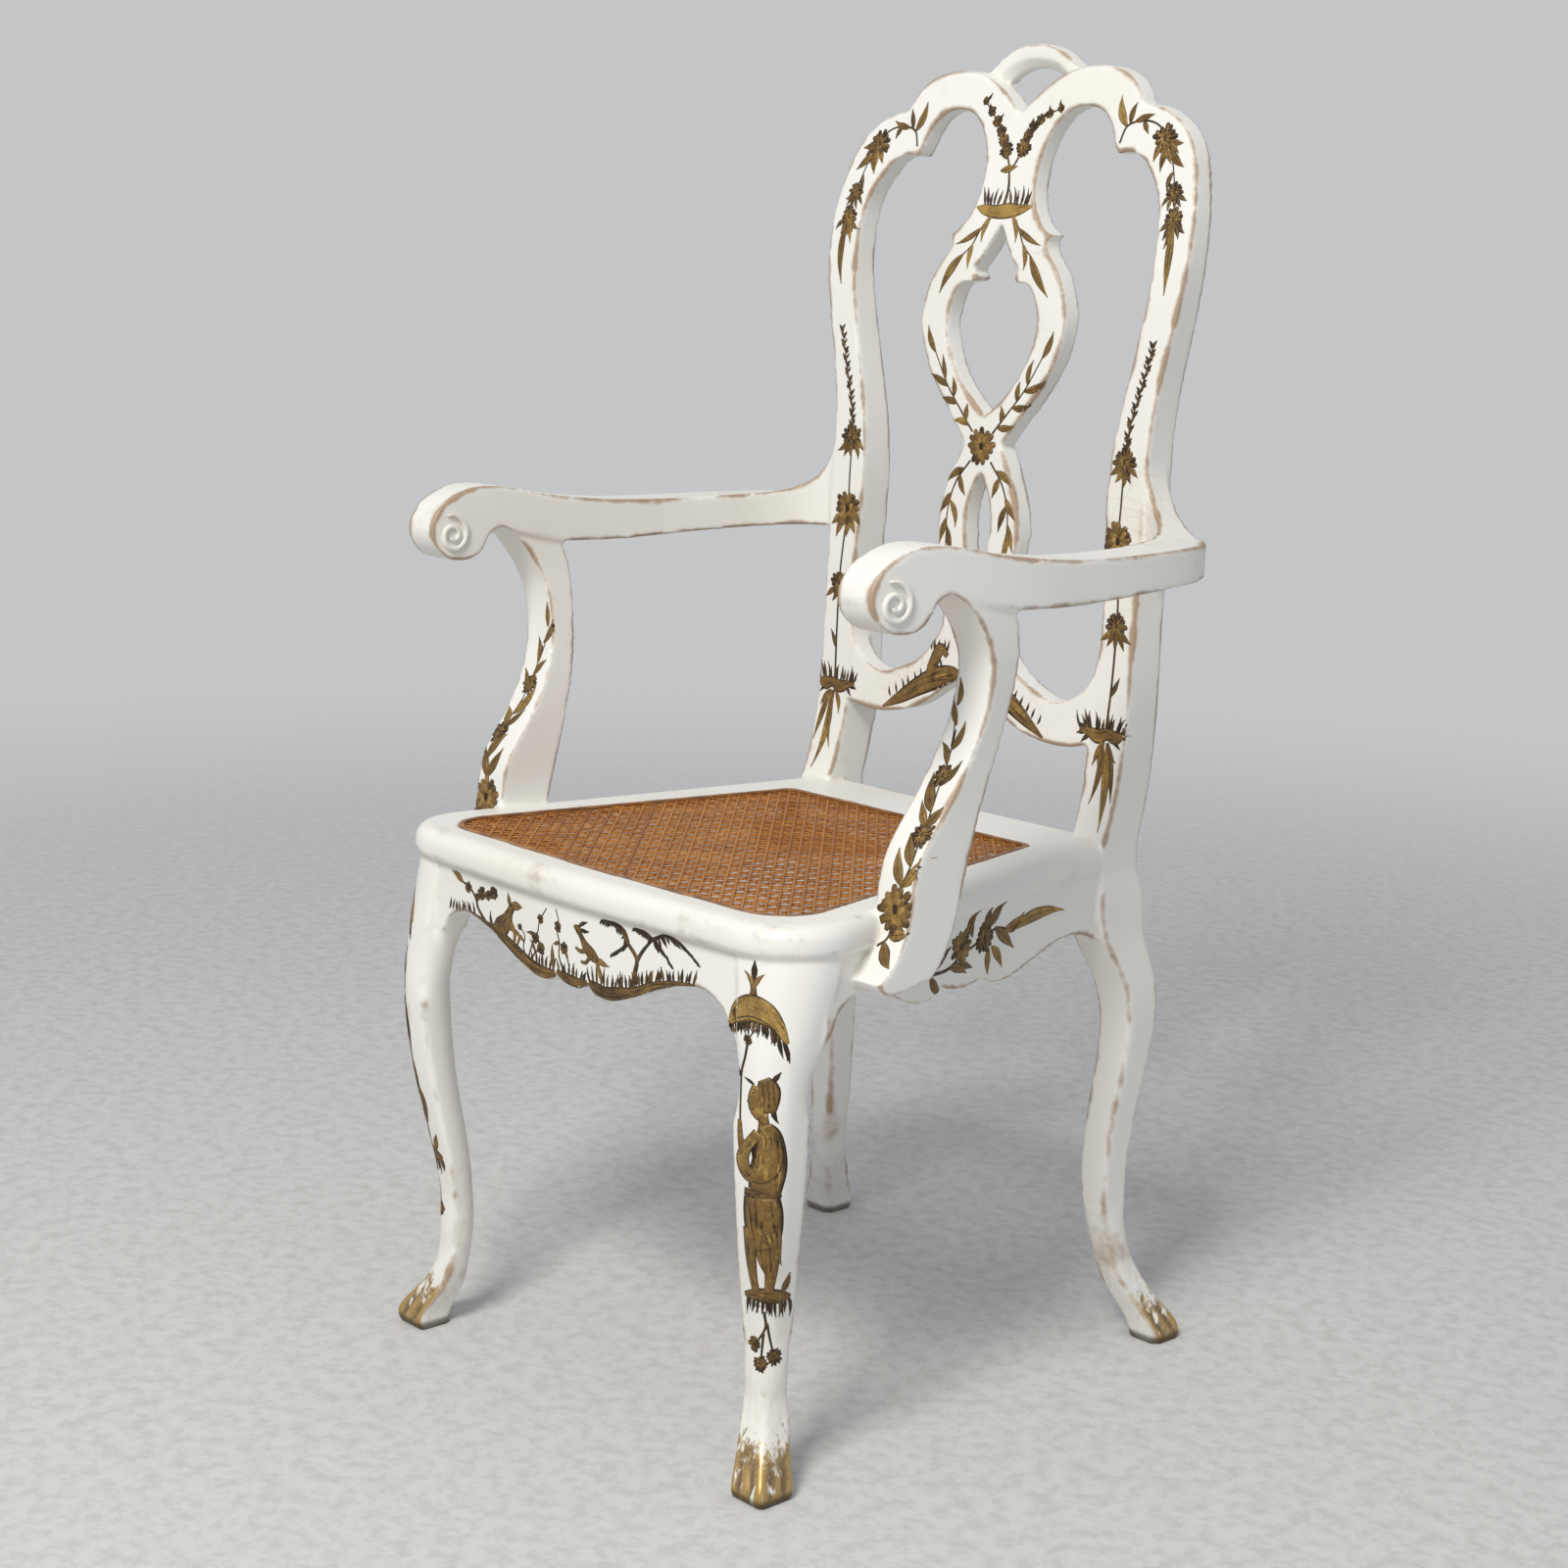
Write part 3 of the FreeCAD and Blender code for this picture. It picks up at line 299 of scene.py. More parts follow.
labels = shared_labels(skin)
skin_faces = [tuple(face.vertices) for face in skin.polygons]
eased = {}
for owner, name in enumerate(wooden):
    eased[name] = closed_part(name, [skin_faces[index] for index in np.flatnonzero(labels == owner)])


# White lacquer
# Several brushed coats of warm white over gesso, rubbed back to tan along the arrises and crazed with age.
# The same coat covers every wooden member; the toes are gilded over it, and old dirt runs up from them.
# Hollows are painted darker with the toned white, as shade.
LACQUER_WHITE = (0.82, 0.81, 0.765, 1)
LACQUER_TONED = (0.66, 0.59, 0.46, 1)
RUBBED_TAN = (0.30, 0.172, 0.078, 1)
CRACK_BROWN = (0.30, 0.21, 0.12, 1)
GILT_DARK = (0.030, 0.015, 0.005, 1)
GILT_BRONZE = (0.185, 0.105, 0.028, 1)
GILT_GOLD = (0.46, 0.29, 0.075, 1)
GILT_FADE = (0.030, 0.043)
SOLE_FADE = (0.004, 0.010)
STAIN_FADE = (0.050, 0.125)


def effect(name, inputs, outputs):
    """An empty shader group with its named sockets: its nodes, what it is given and what it puts out."""
    group = bpy.data.node_groups.new(name, "ShaderNodeTree")
    for label, kind, value in inputs:
        socket = group.interface.new_socket(label, in_out="INPUT", socket_type="NodeSocket" + kind)
        socket.default_value = value
    for label, kind in outputs:
        group.interface.new_socket(label, in_out="OUTPUT", socket_type="NodeSocket" + kind)
    return group, group.nodes.new("NodeGroupInput").outputs, group.nodes.new("NodeGroupOutput")


def feed(tree, node, **wires):
    """Wires or sets the inputs of a node, by socket name or, as i0 and i1, by number."""
    for label, source in wires.items():
        numbered = label[0] == "i" and label[1:].isdigit()
        socket = node.inputs[int(label[1:]) if numbered else label.replace("_", " ")]
        if isinstance(source, bpy.types.NodeSocket):
            tree.links.new(source, socket)
        else:
            socket.default_value = source


def add(tree, kind, settings=(), **wires):
    """A node with its settings and its inputs."""
    node = tree.nodes.new("ShaderNode" + kind)
    for label, value in dict(settings).items():
        setattr(node, label, value)
    feed(tree, node, **wires)
    return node


def math_of(tree, kind, first, second):
    return add(tree, "Math", {"operation": kind}, i0=first, i1=second).outputs[0]


def vector_of(tree, kind, **wires):
    return add(tree, "VectorMath", {"operation": kind}, **wires).outputs


def scaled(tree, value, share):
    return math_of(tree, "MULTIPLY", value, share)


def swung(tree, value, reach):
    """A cloud as a swing to either side of nought."""
    return scaled(tree, math_of(tree, "SUBTRACT", value, 0.5), reach)


def clouds(tree, place, scale, detail=4.0, rough=0.6):
    return add(tree, "TexNoise", Vector=place, Scale=scale, Detail=detail, Roughness=rough).outputs["Fac"]


def stretched(tree, place, scale):
    return add(tree, "Mapping", Vector=place, Scale=scale).outputs[0]


def ramp(tree, value, low, high):
    """A share that rises smoothly from nought at one value to one at another."""
    return add(tree, "MapRange", {"interpolation_type": "SMOOTHSTEP"}, Value=value, From_Min=low,
               From_Max=high).outputs["Result"]


def falling(tree, value, low, high):
    return math_of(tree, "SUBTRACT", 1.0, ramp(tree, value, low, high))


def between(tree, value, low, high):
    return add(tree, "MapRange", Value=value, To_Min=low, To_Max=high).outputs["Result"]


def mixed(tree, share, first, second):
    return add(tree, "Mix", {"data_type": "RGBA"}, i0=share, i6=first, i7=second).outputs[2]


def embossed(tree, coat, height, strength, depth):
    bump = add(tree, "Bump", Strength=strength, Distance=depth, Height=height)
    feed(tree, coat, Normal=bump.outputs[0])


def material(name):
    """A new material: its nodes, its surface shader and the place on the object."""
    made = bpy.data.materials.new(name)
    made.use_nodes = True
    nodes = made.node_tree
    return made, nodes, nodes.nodes["Principled BSDF"], add(nodes, "TexCoord").outputs["Object"]


# Tan where the coat is rubbed through on the arrises, and painted shade that darkens the hollows.
edge_wear_and_hollow_shade, given, result = effect(
    "edge_wear_and_hollow_shade",
    [("Edge", "Float", 0.0), ("Place", "Vector", (0, 0, 0)), ("Reach", "Float", 0.5)],
    [("Rubbed", "Float"), ("Grime", "Float")])
tree = edge_wear_and_hollow_shade
patchy = clouds(tree, given["Place"], 18.0)
fine = clouds(tree, given["Place"], 140.0, 3.0)
broken = math_of(tree, "ADD", scaled(tree, patchy, 1.9), scaled(tree, fine, 0.3))
exposed = math_of(tree, "ADD", given["Edge"], math_of(tree, "SUBTRACT", broken, 1.1))
threshold = math_of(tree, "SUBTRACT", 1.25, given["Reach"])
over = math_of(tree, "SUBTRACT", exposed, threshold)
# Painted shade: the deeper the hollow, the more the coat is toned down.
hollow = math_of(tree, "SUBTRACT", scaled(tree, patchy, 0.5), given["Edge"])
feed(tree, result, Rubbed=ramp(tree, over, -0.10, 0.50), Grime=ramp(tree, hollow, 0.35, 1.0))

crazed_coat, given, result = effect(
    "crazed_coat",
    [("Place", "Vector", (0, 0, 0)), ("Scale", "Float", 60.0)],
    [("Crack", "Float"), ("Brushed", "Float")])
tree = crazed_coat
wander = add(tree, "TexNoise", Vector=given["Place"], Scale=35.0, Detail=3.0).outputs["Color"]
bent = vector_of(tree, "MULTIPLY_ADD", i0=wander, i1=(0.02, 0.02, 0.02), i2=given["Place"])[0]
cells = add(tree, "TexVoronoi", {"feature": "DISTANCE_TO_EDGE"}, Vector=bent, Scale=given["Scale"])
line = falling(tree, cells.outputs["Distance"], 0.0, 0.022)
some = ramp(tree, clouds(tree, given["Place"], 9.0, 2.0), 0.55, 0.70)
brushed = clouds(tree, stretched(tree, given["Place"], (160, 160, 22)), 1.0)
feed(tree, result, Crack=scaled(tree, line, some), Brushed=brushed)

brushed_gilt, given, result = effect(
    "brushed_gilt",
    [("Tone", "Float", 0.5), ("Place", "Vector", (0, 0, 0))],
    [("Colour", "Color"), ("Wear", "Float")])
tree = brushed_gilt
gilt_cloud = clouds(tree, given["Place"], 70.0, 5.0, 0.7)
gilt_fleck = clouds(tree, given["Place"], 420.0, 3.0)
gilt_tone = math_of(tree, "ADD", given["Tone"], swung(tree, gilt_cloud, 1.1))
gilt_tone = math_of(tree, "ADD", gilt_tone, swung(tree, gilt_fleck, 0.6))
bronzed = mixed(tree, ramp(tree, gilt_tone, 0.05, 0.5), GILT_DARK, GILT_BRONZE)
golden = mixed(tree, ramp(tree, gilt_tone, 0.45, 1.0), bronzed, GILT_GOLD)
feed(tree, result, Colour=golden, Wear=gilt_fleck)

lacquer, tree, coat, place = material("white_lacquer_coat")
edge = add(tree, "Attribute", {"attribute_name": "rubbed"}).outputs["Fac"]
wear_and_shade = add(tree, "Group", {"node_tree": edge_wear_and_hollow_shade}, Edge=edge, Place=place, Reach=0.86).outputs
craze = add(tree, "Group", {"node_tree": crazed_coat}, Place=place, Scale=48.0).outputs
yellowed = ramp(tree, clouds(tree, place, 4.5, 3.0), 0.42, 0.80)
ground = mixed(tree, scaled(tree, yellowed, 0.28), LACQUER_WHITE, LACQUER_TONED)
# Painted shade in the hollows, mixed in with the toned white.
hollow_shaded = mixed(tree, scaled(tree, wear_and_shade["Grime"], 0.5), ground, LACQUER_TONED)
cracked = mixed(tree, scaled(tree, craze["Crack"], 0.22), hollow_shaded, CRACK_BROWN)
tanned = mixed(tree, scaled(tree, wear_and_shade["Rubbed"], 0.82), cracked, RUBBED_TAN)
height = add(tree, "SeparateXYZ", Vector=place).outputs["Z"]
streak = clouds(tree, stretched(tree, place, (230, 230, 14)), 1.0, 3.0)
ragged = swung(tree, streak, 0.075)
gilt_edge = math_of(tree, "SUBTRACT", math_of(tree, "ADD", height, ragged), scaled(tree, edge, 0.006))
outward = vector_of(tree, "NORMALIZE", i0=vector_of(tree, "MULTIPLY", i0=place, i1=(1.0, 1.0, 0.0))[0])[0]
facing = vector_of(tree, "DOT_PRODUCT", i0=add(tree, "NewGeometry").outputs["Normal"], i1=outward)["Value"]
toe_side = ramp(tree, math_of(tree, "ADD", facing, scaled(tree, ragged, 3.0)), 0.05, 0.35)
thin_leaf = ramp(tree, clouds(tree, stretched(tree, place, (150, 150, 9)), 1.0, 2.0), 0.31, 0.43)
gilded = scaled(tree, scaled(tree, falling(tree, gilt_edge, *GILT_FADE), toe_side), thin_leaf)
# The toes' gilt is painted darker in the flute grooves, as shade, and golder on the ridges.
groove_shaded_foot_tone = math_of(tree, "ADD", scaled(tree, edge, 0.5), 0.66)
foot_gilt = add(tree, "Group", {"node_tree": brushed_gilt}, Tone=groove_shaded_foot_tone, Place=place).outputs["Colour"]
stained = scaled(tree, falling(tree, height, *STAIN_FADE), ramp(tree, streak, 0.50, 0.68))
washed = mixed(tree, scaled(tree, stained, 0.45), tanned, LACQUER_TONED)
footed = mixed(tree, scaled(tree, gilded, 0.92), washed, foot_gilt)
soled = mixed(tree, scaled(tree, falling(tree, height, *SOLE_FADE), 0.8), footed, GILT_DARK)
feed(tree, coat, Base_Color=soled, Roughness=between(tree, craze["Brushed"], 0.30, 0.50),
     Metallic=scaled(tree, gilded, 0.45), Specular_IOR_Level=0.45)
lost = math_of(tree, "ADD", wear_and_shade["Rubbed"], craze["Crack"])
embossed(tree, coat, math_of(tree, "SUBTRACT", scaled(tree, craze["Brushed"], 0.5), lost), 0.3, 0.0004)


def shown(name, mesh, coating, slot, *stands_for):
    """Puts a finished mesh in the chair and hides the frame pieces that it stands for."""
    mesh.materials.append(coating)
    piece = placed(name, mesh)
    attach(piece, "root")
    if stands_for:
        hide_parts(*stands_for)


for name, mesh in eased.items():
    shown(name + "_lacquered", mesh, lacquer, "white_lacquer", name)


# Woven cane seat
# Split rattan strands, 2.8 mm wide, woven six ways: doubled rows, doubled columns and both diagonals.
# The sheet is pressed into the rebate of the seat frame, so every strand ends under the reed.
CANE_PITCH = 0.0127
CANE_PAIR = 0.0017
CANE_WIDE = 0.0014
CANE_THICK = 0.00042
CANE_TUCK = 0.0025
CANE_SHORTEST = 0.008
CANE_MIDDLE = -0.05
CANE_ROWS = 20
CANE_SLANTS = 42
ROW_GAP = 0.00005
ROW_SWING = 0.0003
SLANT_SWING = 0.0002
SLANT_LIFTS = (0.00045, 0.00062)
CANE_BROWN = (0.29, 0.090, 0.012, 1)
CANE_HONEY = (0.52, 0.212, 0.034, 1)
CANE_SHADE = (0.10, 0.032, 0.008, 1)
random.seed(11)
cane_low, cane_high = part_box("cane_panel")
cane_level = (cane_low[2] + cane_high[2]) / 2
rim = np.array([vertex.co[:] for vertex in members["cane_panel"].data.vertices])
rim = rim[rim[:, 2] > cane_level][:, :2]
rim_middle = rim.mean(0)
rim = rim[np.argsort(np.arctan2(rim[:, 1] - rim_middle[1], rim[:, 0] - rim_middle[0]))]


def across_seat(point, way):
    """Where a straight strand enters and leaves the cane's outline."""
    start, end = rim, np.roll(rim, -1, 0)
    side = np.array((-way[1], way[0]))
    first, last = (start - point) @ side, (end - point) @ side
    cut = np.flatnonzero((first > 0) != (last > 0))
    if len(cut) < 2:
        return None
    share = (first[cut] / (first[cut] - last[cut]))[:, None]
    reach = ((start[cut] + (end[cut] - start[cut]) * share) - point) @ way
    return reach.min() + CANE_TUCK, reach.max() - CANE_TUCK


cane_points, cane_faces, cane_shade = [], [], []


def strand(point, way, height, swing, wave, shift):
    """Lays one strand, rising and dipping past the ones it crosses."""
    ends = across_seat(np.array(point), np.array(way))
    if ends is None or ends[1] - ends[0] < CANE_SHORTEST:
        return
    steps = max(3, int((ends[1] - ends[0]) / (wave / 4)))
    tone = random.random()
    start = len(cane_points)
    for run in np.linspace(ends[0], ends[1], steps):
        x, y = point[0] + way[0] * run, point[1] + way[1] * run
        z = cane_level + height + swing * math.sin(2 * math.pi * (run / wave + shift))
        cane_points.append((x - way[1] * CANE_WIDE, y + way[0] * CANE_WIDE, z))
        cane_points.append((x, y, z + CANE_THICK))
        cane_points.append((x + way[1] * CANE_WIDE, y - way[0] * CANE_WIDE, z))
        cane_points.append((x, y, z - CANE_THICK))
        cane_shade.extend([tone] * 4)
    for row in range(steps - 1):
        base = start + 4 * row
        for side in range(4):
            after = (side + 1) % 4
            cane_faces.append((base + side, base + 4 + side, base + 4 + after, base + after))
    cane_faces.append(tuple(start + side for side in range(4)))
    cane_faces.append(tuple(start + 4 * (steps - 1) + side for side in (3, 2, 1, 0)))


for index in range(-CANE_ROWS, CANE_ROWS + 1):
    spot = index * CANE_PITCH
    for pair, phase in ((-CANE_PAIR, 0.5), (CANE_PAIR, 0.0)):
        strand((spot + pair, 0.0), (0.0, 1.0), -ROW_GAP, ROW_SWING, 2 * CANE_PITCH, phase + 0.25)
        strand((0.0, spot + pair + CANE_MIDDLE), (1.0, 0.0), ROW_GAP, ROW_SWING, 2 * CANE_PITCH, phase)
slant = math.sqrt(0.5)
for index in range(-CANE_SLANTS, CANE_SLANTS + 1):
    spot = (index + 0.5) * CANE_PITCH
    for lean, lift, phase in ((slant, SLANT_LIFTS[0], 0.0), (-slant, SLANT_LIFTS[1], 0.5)):
        strand((spot, CANE_MIDDLE), (lean, slant), lift, SLANT_SWING, CANE_PITCH * slant * 2, phase)
cane_mesh = bpy.data.meshes.new("cane_weave")
cane_mesh.from_pydata(cane_points, [], cane_faces)
cane_mesh.shade_smooth()
marked(cane_mesh, "strand", cane_shade)
cane_coat, tree, coat, place = material("stained_cane")
strand_tone = add(tree, "Attribute", {"attribute_name": "strand"}).outputs["Fac"]
fibre = clouds(tree, place, 900.0, 3.0)
blotch = clouds(tree, place, 30.0)
cane_mix = math_of(tree, "ADD", scaled(tree, strand_tone, 0.45), scaled(tree, blotch, 0.75))
cane_ground = mixed(tree, ramp(tree, cane_mix, 0.30, 0.95), CANE_BROWN, CANE_HONEY)
fibrous = mixed(tree, scaled(tree, ramp(tree, fibre, 0.50, 0.75), 0.55), cane_ground, CANE_SHADE)
feed(tree, coat, Base_Color=fibrous, Roughness=0.45, Specular_IOR_Level=0.25)
embossed(tree, coat, fibre, 0.4, 0.0002)
shown("woven_cane_seat", cane_mesh, cane_coat, "woven_cane", "cane_panel")


# Reed spline
# A round reed, soaked and hammered into the groove over the cane's cut ends, then stained with it.
# It runs once round the seat, glued in its groove, and holds the weave tight.
REED_DARK = (0.16, 0.060, 0.018, 1)
REED_LIGHT = (0.40, 0.19, 0.065, 1)
reed_coat, tree, coat, place = material("stained_reed")
reed_grain = clouds(tree, stretched(tree, place, (60, 60, 900)), 1.0)
reed_colour = mixed(tree, ramp(tree, reed_grain, 0.35, 0.68), REED_DARK, REED_LIGHT)
feed(tree, coat, Base_Color=reed_colour, Roughness=0.42)
embossed(tree, coat, reed_grain, 0.4, 0.0004)


def recoat(node, coating):
    """Gives a frame piece its finish and leaves its shape alone."""
    members[node].data.materials.clear()
    members[node].data.materials.append(coating)


recoat("cane_spline", reed_coat)


# Corner blocks and dowels
# Unpainted beech offcuts, sawn square, that brace the four corners under the seat.
# The dowels are turned from the same wood and hidden in the joints.
BEECH_LIGHT = (0.47, 0.30, 0.165, 1)
BEECH_DARK = (0.27, 0.145, 0.068, 1)
BEECH_TURN = 0.78
beech_coat, tree, coat, place = material("bare_beech_wood")
rings = add(tree, "Mapping", Vector=place, Rotation=(0, 0, BEECH_TURN), Scale=(14, 150, 150)).outputs[0]
grain = clouds(tree, rings, 1.0, 5.0)
flecks = ramp(tree, clouds(tree, place, 520.0, 2.0), 0.58, 0.70)
figured = math_of(tree, "MAXIMUM", ramp(tree, grain, 0.36, 0.70), flecks)
feed(tree, coat, Base_Color=mixed(tree, figured, BEECH_LIGHT, BEECH_DARK), Roughness=0.72)
embossed(tree, coat, grain, 0.3, 0.0005)
for name in sorted(name for name, slot in slot_of.items() if slot == "bare_beech"):
    recoat(name, beech_coat)


# Wood screws
# Plain steel countersunk screws that draw the corner blocks and the arm supports tight.
# Their heads are dulled by handling and a little rust.
STEEL_BRIGHT = (0.42, 0.41, 0.39, 1)
STEEL_RUST = (0.16, 0.075, 0.035, 1)
steel_coat, tree, coat, place = material("dulled_steel")
rust = ramp(tree, clouds(tree, place, 260.0, 5.0), 0.48, 0.66)
feed(tree, coat, Base_Color=mixed(tree, rust, STEEL_BRIGHT, STEEL_RUST),
     Metallic=between(tree, rust, 0.95, 0.2), Roughness=between(tree, rust, 0.32, 0.75))
for name in ("corner_block_screws", "arm_support_screws"):
    recoat(name, steel_coat)


# Carved volutes
# Each arm ends in a scroll, and a raised bead winds into the eye of the scroll on both of its cheeks.
# The bead is carved from the arm itself and lacquered with it, with painted shade along its rim.
VOLUTE_EYE = (-0.1900, 0.6885)
VOLUTE_START = 0.0180
VOLUTE_END = 0.0028
VOLUTE_TURNS = 1.7
VOLUTE_LEAN = math.radians(70)
VOLUTE_CLOSING = 0.75
BEAD_ROWS = 64
BEAD_HALF = 0.0027
BEAD_TIP = 0.15
BEAD_RISE = 9
BEAD_THINNING = 0.25
BEAD_LIFT = 0.0025
BEAD_WEAR_AND_RIM_SHADE = (0.3, -1.0)
ARM_MIDDLE = 0.27
CHEEK_LOOK = 0.2
STROKE_DEPTH = 0.045
RIM_EDGE = 0.00014
RIM_SINK = 0.0006
RIM_INSET = 0.72
SIDES = ((1, "right"), (-1, "left"))


def skin_tree(names):
    """A search tree over the eased skin of some members."""
    corners, triangles, start = [], [], 0
    for name in names:
        mesh = eased[name]
        corners += [vertex.co[:] for vertex in mesh.vertices]
        triangles += [[start + i for i in face.vertices] for face in mesh.polygons]
        start += len(mesh.vertices)
    return BVHTree.FromPolygons(corners, triangles)


def smooth_run(points, steps):
    """Points along a smooth curve through the given ones."""
    points = np.array(points, float)
    ends = np.vstack([2 * points[0] - points[1], points, 2 * points[-1] - points[-2]])
    found = []
    for run in np.linspace(0, len(points) - 1, steps):
        index = min(int(run), len(points) - 2)
        t = run - index
        a, b, c, d = ends[index:index + 4]
        found.append(0.5 * (2 * b + (c - a) * t + (2 * a - 5 * b + 4 * c - d) * t * t
                            + (3 * b - a - 3 * c + d) * t ** 3))
    return np.array(found)


def ribbon(middle, halves, columns):
    """Rows of points across a flat stroke, close together at its two rims."""
    ahead = np.gradient(middle, axis=0)
    ahead /= np.maximum(np.linalg.norm(ahead, axis=1, keepdims=True), 1e-9)
    side = np.stack([-ahead[:, 1], ahead[:, 0]], 1) * np.array(halves)[:, None]
    inner = np.linspace(RIM_INSET, -RIM_INSET, max(1, int(columns)))
    spread = np.concatenate([[1], inner if len(inner) > 1 else [0], [-1]])
    return middle[:, None, :] + side[:, None, :] * spread[None, :, None]


def laid(name, strokes, tree, cast, store_name, unit):
    """Lays flat strokes on the skin as low, closed relief, each at its own lift."""
    places, faces, tones = [], [], []
    for grid, light, dark, lift in strokes:
        count, wide = grid.shape[:2]
        shots = [cast(u * unit, v * unit) for u, v in grid.reshape(-1, 2)]
        struck = [tree.ray_cast(*shot) for shot in shots]
        depths = [hit[3] for hit in struck if hit[0] is not None]
        if not depths:
            continue
        usual = float(np.median(depths))
        start = len(places)
        for index, ((origin, way), hit) in enumerate(zip(shots, struck)):
            if hit[0] is None or abs(hit[3] - usual) > STROKE_DEPTH:
                hit = tree.find_nearest(origin + way * usual)
            rim_point = index % wide in (0, wide - 1)
            places.append(hit[0] + hit[1] * (RIM_EDGE if rim_point else lift))
            tones.append(dark if rim_point else light)
            if rim_point:
                places.append(hit[0] - hit[1] * RIM_SINK)
                tones.append(dark)
        row_length = wide + 2
        top = [0] + list(range(2, wide)) + [wide]
        for row in range(count - 1):
            a = start + row_length * row
            b = a + row_length
            for left, right in zip(top, top[1:]):
                faces.append((a + left, b + left, b + right, a + right))
            faces += [(a + wide, b + wide, b + wide + 1, a + wide + 1),
                      (a + wide + 1, b + wide + 1, b + 1, a + 1), (a + 1, b + 1, b, a)]
        last = start + row_length * (count - 1)
        ring = top + [wide + 1, 1]
        faces += [[start + i for i in ring], [last + i for i in reversed(ring)]]
    mesh = bpy.data.meshes.new(name)
    mesh.from_pydata(places, [], faces)
    work = bmesh.new()
    work.from_mesh(mesh)
    bmesh.ops.recalc_face_normals(work, faces=work.faces)
    work.to_mesh(mesh)
    work.free()
    mesh.shade_smooth()
    marked(mesh, store_name, tones)
    return mesh


turn = np.linspace(0, 1, BEAD_ROWS)
angle = VOLUTE_LEAN + turn * VOLUTE_TURNS * 2 * math.pi
radius = VOLUTE_START + (VOLUTE_END - VOLUTE_START) * turn ** VOLUTE_CLOSING
spiral = np.stack([VOLUTE_EYE[0] - radius * np.cos(angle), VOLUTE_EYE[1] + radius * np.sin(angle)], 1)
taper = BEAD_HALF * np.minimum(turn * BEAD_RISE + BEAD_TIP, 1.0) * (1 - BEAD_THINNING * turn)
# The bead's rim takes the lowest arris value, so the coat paints a line of shade round it.
bead = [(ribbon(spiral, taper, 3), *BEAD_WEAR_AND_RIM_SHADE, BEAD_LIFT)]
for side, hand in SIDES:
    arm_skin = skin_tree(["arm_" + hand])
    for cheek in (1, -1):
        def cheek_cast(u, v):
            return Vector((side * ARM_MIDDLE + cheek * CHEEK_LOOK, u, v)), Vector((-cheek, 0, 0))
        label = "arm_%s_volute_%s" % (hand, "outer" if cheek == side else "inner")
        carved = laid(label, bead, arm_skin, cheek_cast, "rubbed", 1)
        shown(label, carved, lacquer, "white_lacquer")


# Gilt ornament
# Flower sprays, grassy banks, small beasts and a figure, raised in thin gesso and painted bronze and gold.
# Every brush stroke is laid on the finished coat, in millimetres on the face of the member that carries it.
GILT_LIFT = 0.00045
CREASE_LIFT = 0.00035
FINE_LIFT = 0.0003
EYE_LIFT = 0.0004
RING_LIFT = 0.0001
PETAL_LIFT = 0.00002
LOOK_FROM = 0.6
KNEE_LOOK = 0.4
BRUSH_STEP = 2.6
FINEST_BRUSH = 0.5
RIM_SHADE = 0.6
LEAF_RUN = np.array((0, 0.18, 0.4, 0.65, 0.85, 1))
LEAF_SHAPE = np.array((0.22, 0.80, 1.12, 0.86, 0.38, 0.08))
LEAF_BOW = 0.13
LEAF_RIB = (1.1, 1.1, 1.0, 0.8, 0.6)
RIBBED_WIDTH = 5
PETAL_RUN = np.array((0.2, 0.5, 0.8, 1.0))
PETAL_SHAPE = np.array((0.4, 0.85, 1.0, 0.5))
SMALL_BLOOM = ((1.0, 7, 0.0),)
LARGE_BLOOM = ((1.0, 13, -0.05), (0.74, 10, 0.1), (0.46, 7, 0.25))
LARGE_REACH = 6
CLUMP_ROWS = 60
FLECK_ROWS = 10
FLECK_AREA = 75.0
FLECK_TONES = (-0.42, -0.30, 0.35)
KNEE_PIVOT = 0.140
KNEE_DEPTH = 0.200
KNEE_MIDDLE = -0.011
random.seed(23)
gilt, tree, coat, place = material("bronze_gilt_paint")
tone = add(tree, "Attribute", {"attribute_name": "tone"}).outputs["Fac"]
painted = add(tree, "Group", {"node_tree": brushed_gilt}, Tone=tone, Place=place).outputs
gilt_sheen = between(tree, painted["Wear"], 0.32, 0.62)
feed(tree, coat, Base_Color=painted["Colour"], Metallic=0.3, Roughness=gilt_sheen)
embossed(tree, coat, painted["Wear"], 0.35, 0.0003)
drawn = []


def brush(points, widths, light, dark, lift=0.0):
    """A stroke through some points, with a width at each and a darker rim."""
    shape = np.column_stack([np.array(points, float), widths])
    length = np.linalg.norm(np.diff(shape[:, :2], axis=0), axis=1).sum()
    run = smooth_run(shape, max(5, int(length / BRUSH_STEP)))
    halves = np.maximum(run[:, 2], FINEST_BRUSH) / 2
    drawn.append((ribbon(run[:, :2], halves, halves.max() * 2 / BRUSH_STEP), light, dark, GILT_LIFT + lift))


def stem(points, thick, thin, shade=0.2):
    brush(points, np.linspace(thick, thin, len(points)), shade, shade - 0.15)


def crease(points, wide=1.3):
    """A dark line drawn over a broad stroke."""
    brush(points, [wide] * len(points), -0.1, -0.2, CREASE_LIFT)


def leaf(base, tip, wide, shade=None):
    """A pointed blade that bows a little to one side."""
    base, tip = np.array(base, float), np.array(tip, float)
    along = tip - base
    side = np.array((-along[1], along[0])) * random.uniform(-LEAF_BOW, LEAF_BOW)
    middle = base + along * LEAF_RUN[:, None] + side * (4 * LEAF_RUN * (1 - LEAF_RUN))[:, None]
    light = random.uniform(0.35, 0.75) if shade is None else shade
    dark = light - RIM_SHADE
    brush(middle, wide * LEAF_SHAPE, light, dark)
    if wide > RIBBED_WIDTH:
        brush(middle[:len(LEAF_RIB)], LEAF_RIB, dark, dark, FINE_LIFT)


